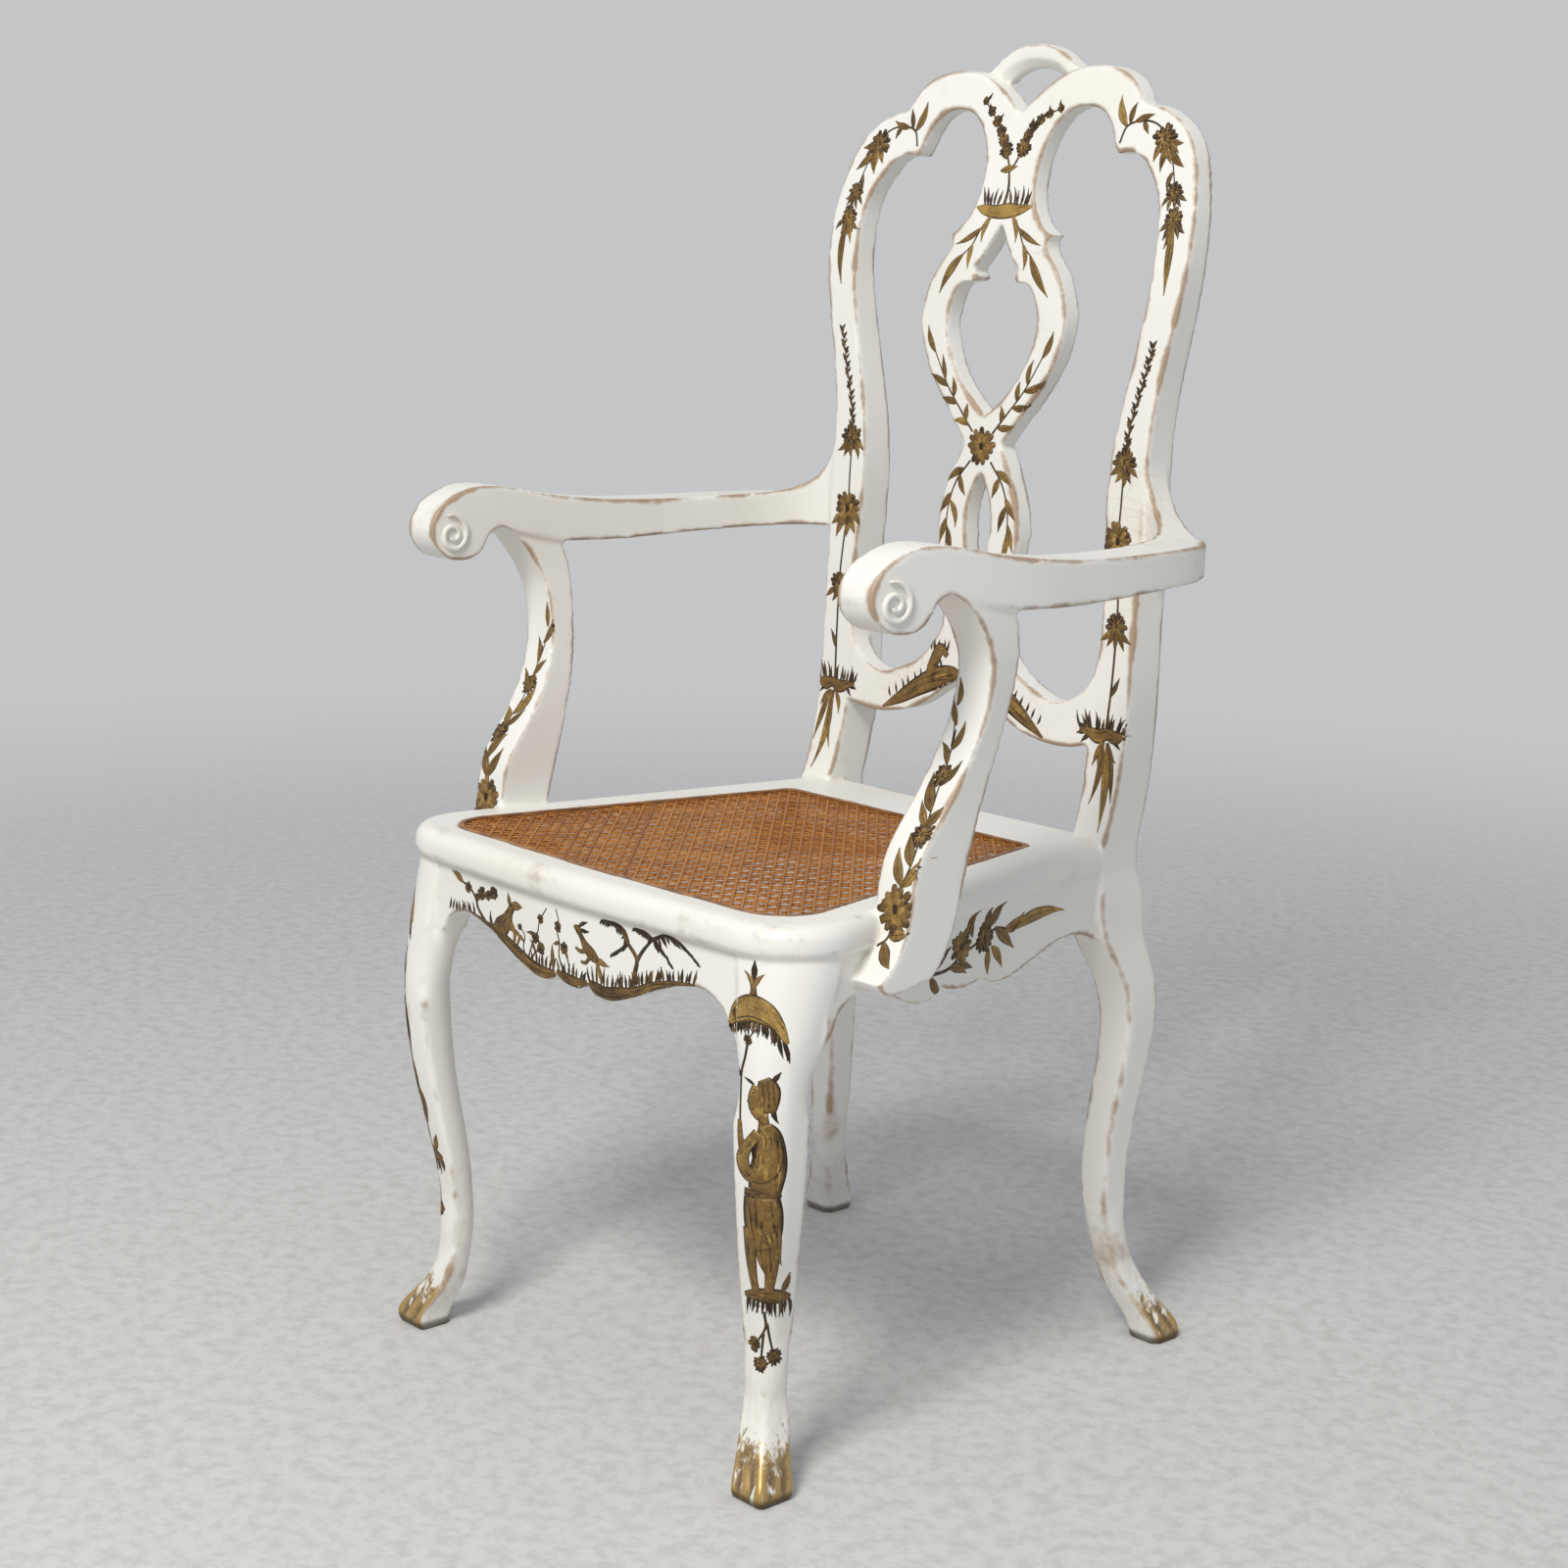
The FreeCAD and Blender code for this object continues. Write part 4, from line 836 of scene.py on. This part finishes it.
def bloom(middle, reach):
    """Ruffled petals in rings round a dark eye."""
    middle = np.array(middle, float)
    rings = LARGE_BLOOM if reach > LARGE_REACH else SMALL_BLOOM
    for ring, (share, petals, gain) in enumerate(rings):
        lean = random.uniform(0, 6.28)
        for index in range(petals):
            angle = lean + 2 * math.pi * (index + random.uniform(-0.2, 0.2)) / petals
            out = np.array((math.cos(angle), math.sin(angle)))
            length = reach * share * random.uniform(0.82, 1.1)
            wide = 5.0 * reach * share / petals
            shade = random.uniform(0.25, 0.65) + gain
            brush(middle + out * (length * PETAL_RUN)[:, None], wide * PETAL_SHAPE, shade, shade - 0.7,
                  RING_LIFT * ring + PETAL_LIFT * index)
    eye = max(0.8, reach * 0.2)
    upright = np.array(((0, -eye), (0, -eye / 2), (0, eye / 2), (0, eye)))
    brush(middle + upright, [eye, 1.9 * eye, 1.9 * eye, eye], -0.05, 0.25, EYE_LIFT)


def clump(points, widths, shade=0.58):
    """A broad body of colour with a wavering rim."""
    brush(points, [wide * random.uniform(0.94, 1.06) for wide in widths], shade, shade - RIM_SHADE)
    run = smooth_run(np.column_stack([points, widths]), CLUMP_ROWS)
    area = np.linalg.norm(np.diff(run[:, :2], axis=0), axis=1).sum() * np.mean(widths)
    for _ in range(int(area / FLECK_AREA)):
        index = random.randrange(3, CLUMP_ROWS - FLECK_ROWS - 4)
        ahead = run[index + FLECK_ROWS, :2] - run[index, :2]
        side = np.array((-ahead[1], ahead[0])) / max(np.linalg.norm(ahead), 1e-6)
        shift = side * run[index, 2] * random.uniform(-0.36, 0.36)
        fleck = [run[index + step, :2] + shift for step in (0, FLECK_ROWS // 2, FLECK_ROWS)]
        wide = random.uniform(1.3, 1.3 + 0.10 * run[index, 2])
        fleck_tone = shade + random.choice(FLECK_TONES)
        brush(fleck, [0.6, wide, 0.6], fleck_tone, fleck_tone - 0.1, FINE_LIFT)


def blades(start, end, count, tall, fan=0.35):
    """A row of short grass that leans outward at its ends; a negative height hangs it."""
    for index in range(count):
        share = index / (count - 1)
        base = np.array(start) * (1 - share) + np.array(end) * share
        height = tall * random.uniform(0.7, 1.2)
        lean = (share - 0.5) * 2 * fan * abs(height) + random.uniform(-1, 1)
        root = base - np.array((0, math.copysign(2.5, tall)))
        leaf(root, base + np.array((lean, height)), random.uniform(2.4, 3.4), random.uniform(0.1, 0.5))


def spray(points, leaves, blooms=(), thick=2.0):
    """A stem with leaves given by their place on it, their tip and width, and blooms along it."""
    run = smooth_run(points, 90)
    gone = np.concatenate([[0], np.cumsum(np.linalg.norm(np.diff(run, axis=0), axis=1))])
    stem(points, thick, 1.1)
    for share, tip, wide in leaves:
        leaf(run[np.searchsorted(gone, share * gone[-1])], tip, wide)
    for share, reach in blooms:
        bloom(run[np.searchsorted(gone, share * gone[-1])], reach)


def frond(points, droop):
    """A bough that arches over, hung with fine dark needles."""
    run = smooth_run(points, 16)
    stem(points, 3.4, 1.4, 0.15)
    for index, spot in enumerate(run[1:]):
        fall = droop * random.uniform(0.6, 1.1) * (1 - 0.035 * index)
        drift = (run[-1] - run[0])[0] * 0.12 + random.uniform(-2, 2)
        leaf(spot, spot + np.array((drift, -fall)), 2.8, 0.15)


def bouquet(spot, reach, way):
    """A bloom with pointed leaves fanned out behind it, towards the way it hangs."""
    spot = np.array(spot)
    for turn in (-0.9, -0.45, 0, 0.45, 0.9):
        out = np.array((math.sin(way + turn), -math.cos(way + turn)))
        leaf(spot + out * reach * 0.5, spot + out * reach * random.uniform(1.5, 1.9), reach * 0.42)
    bloom(spot, reach)


def mirrored(side, points):
    return [(side * x, z) for x, z in points]


def side_spray(side, points, leaves):
    """A spray on one side, its leaves given by place on the stem, x and z of the tip, and width."""
    spray(mirrored(side, points), [(share, (side * x, z), wide) for share, x, z, wide in leaves])


def facing_front(start, side=1):
    return lambda u, v: (Vector((side * u, start, v)), Vector((0, 1, 0)))


def facing_flank(side):
    return lambda u, v: (Vector((side * LOOK_FROM, u, v)), Vector((-side, 0, 0)))


def facing_corner(side):
    """Rays that close in on a line inside the knee, so that they also meet its two cheeks squarely."""
    outward = Vector((side * slant, -slant, 0))
    rightward = Vector((slant, side * slant, 0))
    pivot = outward * KNEE_PIVOT + rightward * side * KNEE_MIDDLE

    def cast(u, v):
        way = (outward * KNEE_DEPTH + rightward * (u - KNEE_MIDDLE)).normalized()
        return pivot + way * KNEE_LOOK + Vector((0, 0, v)), -way
    return cast


def gild(name, names, cast):
    """Lays everything drawn so far on some members, and starts a clean sheet."""
    mesh = laid(name, drawn, skin_tree(names), cast, "tone", 0.001)
    drawn.clear()
    shown(name, mesh, gilt, "white_lacquer")


# Gilding of the back
# Sprays climb both posts from a grassy knot and hang from the crest; four more spring from one bloom.
# They are painted on the front face of the posts, crest, splat and lower rail.
for side in (1, -1):
    # Crest shoulder and post
    side_spray(side, [(118, 1028), (124, 1042), (142, 1046), (160, 1040), (174, 1022), (182, 1002),
                      (188, 982), (191, 962)],
               [(0.10, 113, 1067, 7.5), (0.13, 131, 1061, 5.5), (0.16, 151, 1051, 5.5), (0.22, 147, 1035, 5),
                (0.50, 167, 1004, 6.5), (0.55, 191, 1008, 6.5), (0.68, 178, 988, 4.5), (0.95, 184, 942, 5.5),
                (0.99, 190, 905, 7)])
    bouquet((side * 166, 1031), 12.5, side * 0.5)
    bouquet((side * 186, 988), 9, side * 0.2)
    bouquet((side * 190, 966), 10.5, 0)
    post = mirrored(side, [(184, 864), (175, 830), (166, 797), (163, 768), (163, 735), (163, 702),
                           (168, 645), (168, 590), (166, 545)])
    stem(post, 1.2, 2.4)
    for index, spot in enumerate(smooth_run(post[:4], 17)[:-1]):
        hand = 1 if index % 2 else -1
        leaf(spot, spot + np.array((hand * 4.5, 4.5)), 2.8, 0.15)
        leaf(spot, spot + np.array((-hand * 3.5, 5)), 2.4, 0.4)
        bloom(spot + np.array((hand * random.uniform(0.5, 2), 0)), random.uniform(1.9, 2.8))
    for spot, reach in ((post[3], 12.5), (post[5], 16.5), ((side * 168, 632), 12)):
        bouquet(spot, reach, 0)
    leaf((side * 168, 572), (side * 176, 589), 4.5)
    # Grassy knot at the foot of the post
    clump(mirrored(side, [(138, 541), (147, 540), (158, 537), (168, 540), (178, 538), (187, 541)]),
          (2, 8, 13, 10, 12, 2), 0.5)
    for x, z in ((136, 546), (135, 537), (141, 530), (190, 547), (192, 538), (184, 529)):
        leaf((side * (162 + (x - 162) * 0.6), 539), (side * x, z), 4, 0.3)
    blades((side * 140, 543), (side * 184, 543), 13, 13 if side > 0 else 14, 0.5 * side)
    for x, z, wide in ((156, 512, 5), (160, 480, 6), (167, 503, 4.5), (177, 459, 7.5), (183, 484, 6),
                       (181, 517, 5)):
        leaf((side * (166 + (x - 166) * 0.25), 533), (side * x, z), wide)
    # Splat
    side_spray(side, [(10, 970), (22, 957), (30, 943), (40, 934)],
               [(0.05, 20, 945, 5), (0.35, 50, 943, 5), (0.68, 33, 922, 5), (0.98, 64, 900, 7.5)])
    side_spray(side, [(12, 782), (28, 800), (46, 821), (64, 850)],
               [(0.08, 36, 790, 6), (0.14, 20, 806, 6), (0.36, 54, 809, 6), (0.45, 40, 828, 5.5),
                (0.58, 68, 830, 6), (0.66, 54, 847, 5), (0.98, 74, 872, 6)])
    side_spray(side, [(12, 757), (28, 737), (36, 712), (36, 678)],
               [(0.12, 38, 737, 6.5), (0.20, 16, 726, 6), (0.42, 45, 709, 6.5), (0.50, 26, 697, 6),
                (0.68, 44, 681, 6), (0.76, 30, 669, 6), (0.98, 36, 650, 6.5)])
    # Bank on the lower rail
    clump(mirrored(side, [(5, 569), (18, 567), (36, 561), (58, 550), (78, 538), (98, 527)]),
          (3, 15, 20, 17, 11, 2), 0.5)
    for index in range(9):
        base = (side * (30 + 7.5 * index), 571 - 4.2 * index)
        leaf(base, (base[0] + side * 3, base[1] + 9), 2.4, 0.2)
    crease(mirrored(side, [(20, 562), (44, 556), (70, 541)]), 1.6)
# Mound on the left bank, flowers of the crest and central bloom
clump([(-48, 560), (-40, 575), (-33, 588), (-24, 582)], (5, 12, 11, 5))
blades((-44, 588), (-26, 586), 5, 10)
stem([(0, 976), (2, 991), (-1, 1006)], 3.4, 2.2)
leaf((-11, 1006), (8, 1010), 6, 0.6)
for branch, berries in (
        ([(0, 1006), (-10, 1026), (-22, 1045), (-42, 1066)], (7.5, 6.5, 6, 5.5, 5, 4)),
        ([(2, 1008), (10, 1023), (16, 1040), (28, 1050), (47, 1058)], (9, 6, 5.5, 5, 4.5, 4))):
    stem(branch, 2.2, 1.2)
    for spot, reach in zip(smooth_run(branch, 8)[2:], berries):
        bloom(spot, reach)
        leaf(spot, spot + np.array((random.uniform(-7, 7), 7)), 3, 0.2)
clump([(-31, 975), (-22, 973), (-8, 971), (6, 972), (20, 973), (33, 976)], (2, 9, 12, 13, 9, 2), 0.8)
blades((-22, 978), (-8, 978), 5, 13)
blades((8, 978), (26, 978), 6, 13)
bloom((0, 770), 16)
gild("gilt_back_sprays", ["rear_post_right", "rear_post_left", "crest_rail", "splat", "lower_back_rail"],
     facing_front(0.0))


# Gilding of the front apron
# A small garden stands on banks that follow the lobed edge: two beasts, two trees and tall flowers.
# It is painted across the apron and runs out on to the leg's shoulder.
# Banks and grass
clump([(-140, 389), (-118, 384), (-95, 378), (-75, 370), (-56, 363), (-41, 360), (-29, 361), (-21, 364)],
      (2, 5, 9, 12, 13, 12, 9, 4), 0.36)
clump([(-19, 365), (-8, 362), (4, 361), (15, 362), (20, 365)], (4, 10, 10, 8, 4), 0.36)
clump([(22, 365), (31, 362), (42, 360), (57, 363), (77, 369), (97, 378), (120, 385), (144, 389)],
      (5, 11, 13, 12, 9, 7, 5, 2), 0.36)
crease([(-100, 377), (-70, 366), (-40, 359)])
crease([(28, 361), (48, 359), (72, 366)])
blades((-172, 388), (-134, 389), 9, 8, -0.4)
blades((-50, 367), (-24, 366), 7, 9)
blades((-16, 366), (16, 366), 8, 9)
blades((24, 367), (58, 368), 9, 11)
blades((60, 370), (104, 384), 13, 11)
blades((106, 385), (142, 391), 10, 9)
# Left tree
stem([(-118, 385), (-129, 394), (-133, 402), (-141, 409), (-151, 412), (-162, 417)], 3.4, 1.4)
stem([(-133, 402), (-120, 406), (-107, 411)], 2, 1.2)
leaf((-152, 412), (-168, 419), 6)
for x, z, reach in ((-144, 409, 5), (-131, 403, 3.5), (-124, 408, 6), (-107, 412, 6), (-115, 408, 4.5)):
    bloom((x, z), reach)
# Left beast
clump([(-107, 379), (-97, 384), (-88, 392), (-83, 401), (-79, 407)], (9, 18, 15, 9, 8), 0.42)
leaf((-82, 405), (-86, 416), 5, 0.5)
leaf((-82, 407), (-66, 408), 7, 0.5)
stem([(-82, 392), (-76, 384), (-78, 372)], 6, 3, 0.5)
stem([(-84, 388), (-70, 384), (-72, 376)], 4.5, 2.4, 0.5)
stem([(-93, 384), (-96, 376), (-91, 368)], 7, 3, 0.5)
leaf((-106, 380), (-111, 396), 4)
# Flowers
for flower, berries in (
        ([(-57, 368), (-52, 380), (-45, 391), (-42, 402), (-33, 414)], ((0.4, 5), (0.75, 4))),
        ([(-11, 368), (-16, 378), (-16, 390), (-19, 398), (-17, 406), (-21, 416)], ((0.7, 4.5),)),
        ([(-60, 368), (-64, 376), (-62, 385), (-70, 392)], ((0.95, 3),)),
        ([(-53, 368), (-47, 375), (-40, 380)], ((0.95, 5.5),)),
        ([(-2, 368), (-5, 378), (-10, 387)], ((0.95, 5),))):
    spray(flower, [(0.45, (flower[1][0] - 8, flower[1][1] + 9), 3.4)], berries, 1.8)
leaf((-23, 366), (-25, 386), 5)
# Right beast
clump([(3, 407), (8, 405), (12, 400), (18, 393), (26, 388), (34, 384)], (3, 7, 5.5, 9, 10.5, 5), 0.42)
leaf((8, 407), (20, 413), 3.4, 0.3)
leaf((10, 406), (22, 406), 3.4, 0.3)
stem([(18, 390), (11, 388), (5, 390)], 4.6, 2.6, 0.5)
stem([(24, 387), (18, 380), (12, 380)], 4.2, 2.4, 0.5)
stem([(32, 386), (34, 377), (38, 368)], 5.5, 2.4, 0.5)
leaf((30, 387), (47, 383), 5)
# Right tree
stem([(74, 371), (77, 384), (79, 396), (69, 406), (62, 414), (52, 417)], 5.5, 2.4)
stem([(79, 394), (87, 405), (97, 415)], 4, 2.2)
for bough, droop in (
        ([(69, 407), (65, 415), (55, 419), (39, 419)], 8),
        ([(69, 410), (63, 402), (50, 394)], 6),
        ([(97, 415), (88, 419), (77, 420)], 6),
        ([(97, 415), (112, 421), (128, 418), (145, 408)], 9),
        ([(97, 415), (106, 410), (117, 400)], 7)):
    frond(bough, droop)
gild("gilt_apron_garden", ["front_apron", "seat_frame_front", "front_leg_left", "front_leg_right"],
     facing_front(-LOOK_FROM))


# Gilding of the sides
# One flowering branch lies along each side apron, behind the foot of the arm support.
# The right and the left are painted alike, as mirror images.
for side, hand in SIDES:
    stem([(-80, 386), (-54, 386), (-34, 394), (-6, 402), (14, 407), (38, 400)], 3.2, 1.6)
    for base, tip, wide in (
            ((-78, 387), (-50, 404), 8), ((-77, 385), (-60, 366), 8), ((-52, 387), (-28, 378), 7.5),
            ((-40, 388), (-20, 381), 6), ((-28, 408), (-14, 427), 8), ((-22, 406), (-24, 424), 6),
            ((-4, 410), (4, 426), 8), ((2, 410), (22, 428), 9), ((2, 393), (2, 371), 7.5),
            ((6, 393), (22, 373), 8), ((10, 408), (38, 386), 9.5), ((24, 404), (52, 413), 9),
            ((34, 401), (112, 404), 10)):
        leaf(base, tip, wide)
    bloom((-36, 401), 14)
    bloom((-4, 402), 13)
    gild("gilt_flank_spray_" + hand, ["side_apron_" + hand, "seat_frame_" + hand], facing_flank(side))


# Gilding of the front legs
# A robed attendant holds a fringed parasol on the knee of each leg, above a tuft and three hanging flowers.
# The figure is painted over the rounded corner, so that it faces out along the diagonal.
for side, hand in SIDES:
    # Parasol
    leaf((-28, 399), (-28, 412), 4, 0.8)
    leaf((-28, 401), (-37, 413), 4, 0.8)
    leaf((-28, 401), (-19, 413), 4, 0.8)
    leaf((-28, 408), (-28, 422), 5.5, 0.0)
    clump([(-28, 405), (-28, 397)], (4, 7), 0.5)
    clump([(-53, 366), (-47, 376), (-39, 383), (-28, 387), (-16, 384), (-7, 376), (0, 364)],
          (3, 11, 18, 20, 17, 11, 3), 0.76)
    crease([(-48, 372), (-39, 378), (-28, 381), (-16, 378), (-6, 369)], 1.8)
    for drop in ((-7, 370, -3, 353), (-4, 367, 0, 351), (-2, 364, 2, 349)):
        leaf(drop[:2], drop[2:], 3.4, -0.1)
    blades((-50, 369), (-29, 378), 11, -8, 0.1)
    blades((-26, 378), (-7, 369), 10, -8, 0.1)
    for start in ((-40, 377), (-30, 380), (-21, 377)):
        stem([start, (-31, 364)], 1.1, 1.1)
    bloom((-31, 363), 4)
    stem([(-31, 362), (-33, 350), (-36, 337), (-36, 318), (-35, 284)], 2.2, 1.8)
    stem([(-36, 338), (-40, 334), (-42, 340)], 2.6, 1.8)
    # Head
    clump([(-17, 337), (-14, 330), (-13, 321), (-12, 312)], (9, 19, 18, 10), 0.42)
    leaf((-9, 318), (-5, 304), 4, 0.1)
    clump([(-22, 331), (-23, 322), (-22, 314), (-18, 308)], (8, 12, 12, 8), 0.64)
    for lock in (-17, -13, -9):
        crease([(lock - 1, 335), (lock, 326), (lock + 1, 317)], 1.2)
    crease([(-26, 325), (-23, 326)], 1.4)
    crease([(-27, 314), (-24, 313)], 1.2)
    leaf((-25, 321), (-30, 318), 4, 0.6)
    leaf((-11, 334), (-4, 343), 4, 0.2)
    leaf((-24, 332), (-33, 335), 2.6, 0.2)
    # Neck, coat and raised arm
    clump([(-17, 311), (-16, 304), (-15, 297)], (8, 8, 12), 0.52)
    clump([(-15, 302), (-12, 294), (-11, 280), (-12, 266), (-15, 248)], (10, 19, 25, 28, 26), 0.57)
    clump([(-20, 296), (-29, 283), (-33, 272), (-29, 262), (-20, 258)], (8, 9, 12, 12, 9), 0.62)
    clump([(-32, 276), (-35, 288), (-36, 302)], (8, 6, 4), 0.62)
    clump([(-6, 296), (-3, 282), (-3, 268), (-7, 256)], (2, 5, 6, 3), 0.05)
    clump([(-20, 290), (-22, 280), (-19, 270)], (3, 5, 3), 0.1)
    crease([(-6, 298), (-1, 282), (-4, 266), (-14, 257), (-24, 256)])
    crease([(-20, 300), (-14, 292), (-15, 282)])
    crease([(-25, 286), (-24, 276), (-20, 268)])
    # Sash, skirt and legs
    clump([(-31, 246), (-17, 245), (-2, 248)], (7, 9, 7), 0.3)
    clump([(-17, 243), (-16, 230), (-15, 214), (-12, 200)], (30, 34, 32, 22), 0.54)
    clump([(-26, 240), (-24, 224), (-20, 210)], (3, 5, 3), 0.1)
    clump([(-8, 240), (-6, 224), (-7, 208)], (3, 6, 4), 0.1)
    leaf((-3, 222), (0, 186), 7, 0.5)
    leaf((-17, 208), (-13, 178), 8, 0.5)
    clump([(-27, 216), (-26, 194), (-24, 176), (-21, 162)], (11, 11, 8, 7), 0.47)
    clump([(-8, 206), (-8, 186), (-9, 172), (-10, 162)], (14, 12, 9, 8), 0.47)
    crease([(-22, 241), (-19, 224), (-11, 206), (-9, 190)])
    crease([(-10, 241), (-7, 226), (-4, 210)])
    crease([(-27, 238), (-25, 222), (-22, 206)])
    # Tuft and hanging flowers
    clump([(-32, 157), (-18, 160), (-4, 159), (9, 156)], (4, 12, 13, 5), 0.36)
    blades((-29, 156), (7, 154), 14, -13, 0.1)
    leaf((1, 161), (8, 178), 6)
    for branch, reach in (
            ([(-14, 146), (-12, 134), (-16, 125), (-22, 117)], 6),
            ([(-14, 128), (-15, 114), (-16, 102)], 7),
            ([(-11, 136), (-8, 122), (-4, 108)], 7)):
        stem(branch, 2.6, 1.6)
        bloom(branch[-1], reach)
    gild("gilt_leg_figure_" + hand, ["front_leg_" + hand], facing_corner(side))


# Gilding of the arm supports
# A single spray climbs the front of each support from a large bloom at its foot.
# It follows the curve of the support, leaf by leaf, and thins out under the arm.
for side, hand in SIDES:
    spray([(246, 427), (253, 434), (254, 448), (258, 472), (263, 492), (260, 517), (255, 543), (254, 566),
           (253, 586), (250, 604)],
          [(0.03, (267, 415), 9), (0.06, (273, 441), 9), (0.26, (246, 499), 9), (0.27, (273, 499), 9),
           (0.36, (250, 510), 9), (0.50, (245, 532), 6), (0.50, (268, 531), 8), (0.56, (245, 552), 9),
           (0.66, (268, 564), 5.5), (0.74, (243, 574), 6), (0.80, (261, 592), 6), (0.90, (245, 609), 6),
           (0.98, (252, 624), 5.5)],
          [(0.17, 18), (0.47, 10), (0.70, 9)])
    gild("gilt_support_spray_" + hand, ["arm_support_" + hand], facing_front(-LOOK_FROM, side))


# Floor
# A plain pale studio floor with a fine mottle, which fades into the backdrop some way from the chair.
FLOOR_PALE = (0.66, 0.655, 0.64, 1)
FLOOR_SPECK = (0.56, 0.555, 0.54, 1)
BACKDROP = (0.55, 0.56, 0.57, 1)
FLOOR_REACH = 9
FLOOR_SIDES = 96
FADE_START = 1.3
FADE_END = 3.6
turns = np.linspace(0, 2 * math.pi, FLOOR_SIDES, endpoint=False)
floor_rim = [(FLOOR_REACH * math.cos(turn), FLOOR_REACH * math.sin(turn), 0) for turn in turns]
floor_mesh = bpy.data.meshes.new("floor")
floor_mesh.from_pydata(floor_rim, [], [tuple(range(FLOOR_SIDES))])
floor = placed("floor", floor_mesh)
paving, tree, coat, place = material("pale_floor")
speck = ramp(tree, clouds(tree, place, 60.0, 6.0, 0.7), 0.40, 0.66)
mottled = mixed(tree, speck, FLOOR_PALE, FLOOR_SPECK)
feed(tree, coat, Base_Color=mottled, Roughness=0.85, Specular_IOR_Level=0.2)
far = ramp(tree, vector_of(tree, "LENGTH", i0=place)["Value"], FADE_START, FADE_END)
glow = add(tree, "Emission", Color=BACKDROP, Strength=1.0)
faded = add(tree, "MixShader", i0=far, i1=coat.outputs[0], i2=glow.outputs[0])
feed(tree, tree.nodes["Material Output"], Surface=faded.outputs[0])
floor_mesh.materials.append(paving)


# Light and camera
# A soft key stands high in front, a little to the right, and a pale surround fills the shade.
# The camera stands where the photographer stood.
SURROUND = (0.86, 0.90, 0.96, 1)
SURROUND_STRENGTH = 0.5
KEY_WATTS = 138
KEY_SIZE = 1.2
KEY_COLOUR = (1.0, 0.97, 0.92)
KEY_SPOT = Vector((1.2, -2.8, 3.4))
KEY_AIM = Vector((0, 0, 0.5))
CAMERA_TURN = math.radians(47.171)
CAMERA_TILT = math.radians(11.222)
CAMERA_ROLL = math.radians(1.501)
CAMERA_SPOT = (1.60465, -1.51559, 0.92873)
CAMERA_LENS = 61.07
CAMERA_SENSOR = 36
scene = bpy.context.scene
scene.view_settings.view_transform = "Standard"
world = bpy.data.worlds.new("studio")
scene.world = world
world.use_nodes = True
tree = world.node_tree
surround = tree.nodes["Background"]
feed(tree, surround, Color=SURROUND, Strength=SURROUND_STRENGTH)
seen = add(tree, "Background", Color=BACKDROP, Strength=1.0)
path = add(tree, "LightPath").outputs
mirrored_rays = math_of(tree, "MAXIMUM", path["Is Glossy Ray"], path["Is Transmission Ray"])
direct = math_of(tree, "MAXIMUM", path["Is Camera Ray"], mirrored_rays)
both = add(tree, "MixShader", i0=direct, i1=surround.outputs[0], i2=seen.outputs[0])
feed(tree, tree.nodes["World Output"], Surface=both.outputs[0])
key = bpy.data.lights.new("key", "AREA")
key.energy = KEY_WATTS
key.size = KEY_SIZE
key.color = KEY_COLOUR
key_object = placed("key", key)
key_object.location = KEY_SPOT
key_object.rotation_euler = (KEY_AIM - KEY_SPOT).to_track_quat("-Z", "Y").to_euler()

back_way = Vector((math.sin(CAMERA_TURN) * math.cos(CAMERA_TILT),
                   -math.cos(CAMERA_TURN) * math.cos(CAMERA_TILT), math.sin(CAMERA_TILT)))
right_way = Vector((math.cos(CAMERA_TURN), math.sin(CAMERA_TURN), 0))
up_way = back_way.cross(right_way)
across = right_way * math.cos(CAMERA_ROLL) + up_way * math.sin(CAMERA_ROLL)
upward = up_way * math.cos(CAMERA_ROLL) - right_way * math.sin(CAMERA_ROLL)
camera_data = bpy.data.cameras.new("camera")
camera_data.lens = CAMERA_LENS
camera_data.sensor_width = CAMERA_SENSOR
camera = placed("camera", camera_data)
turned = Matrix((across, upward, back_way)).transposed().to_4x4()
camera.matrix_world = Matrix.Translation(CAMERA_SPOT) @ turned
scene.camera = camera
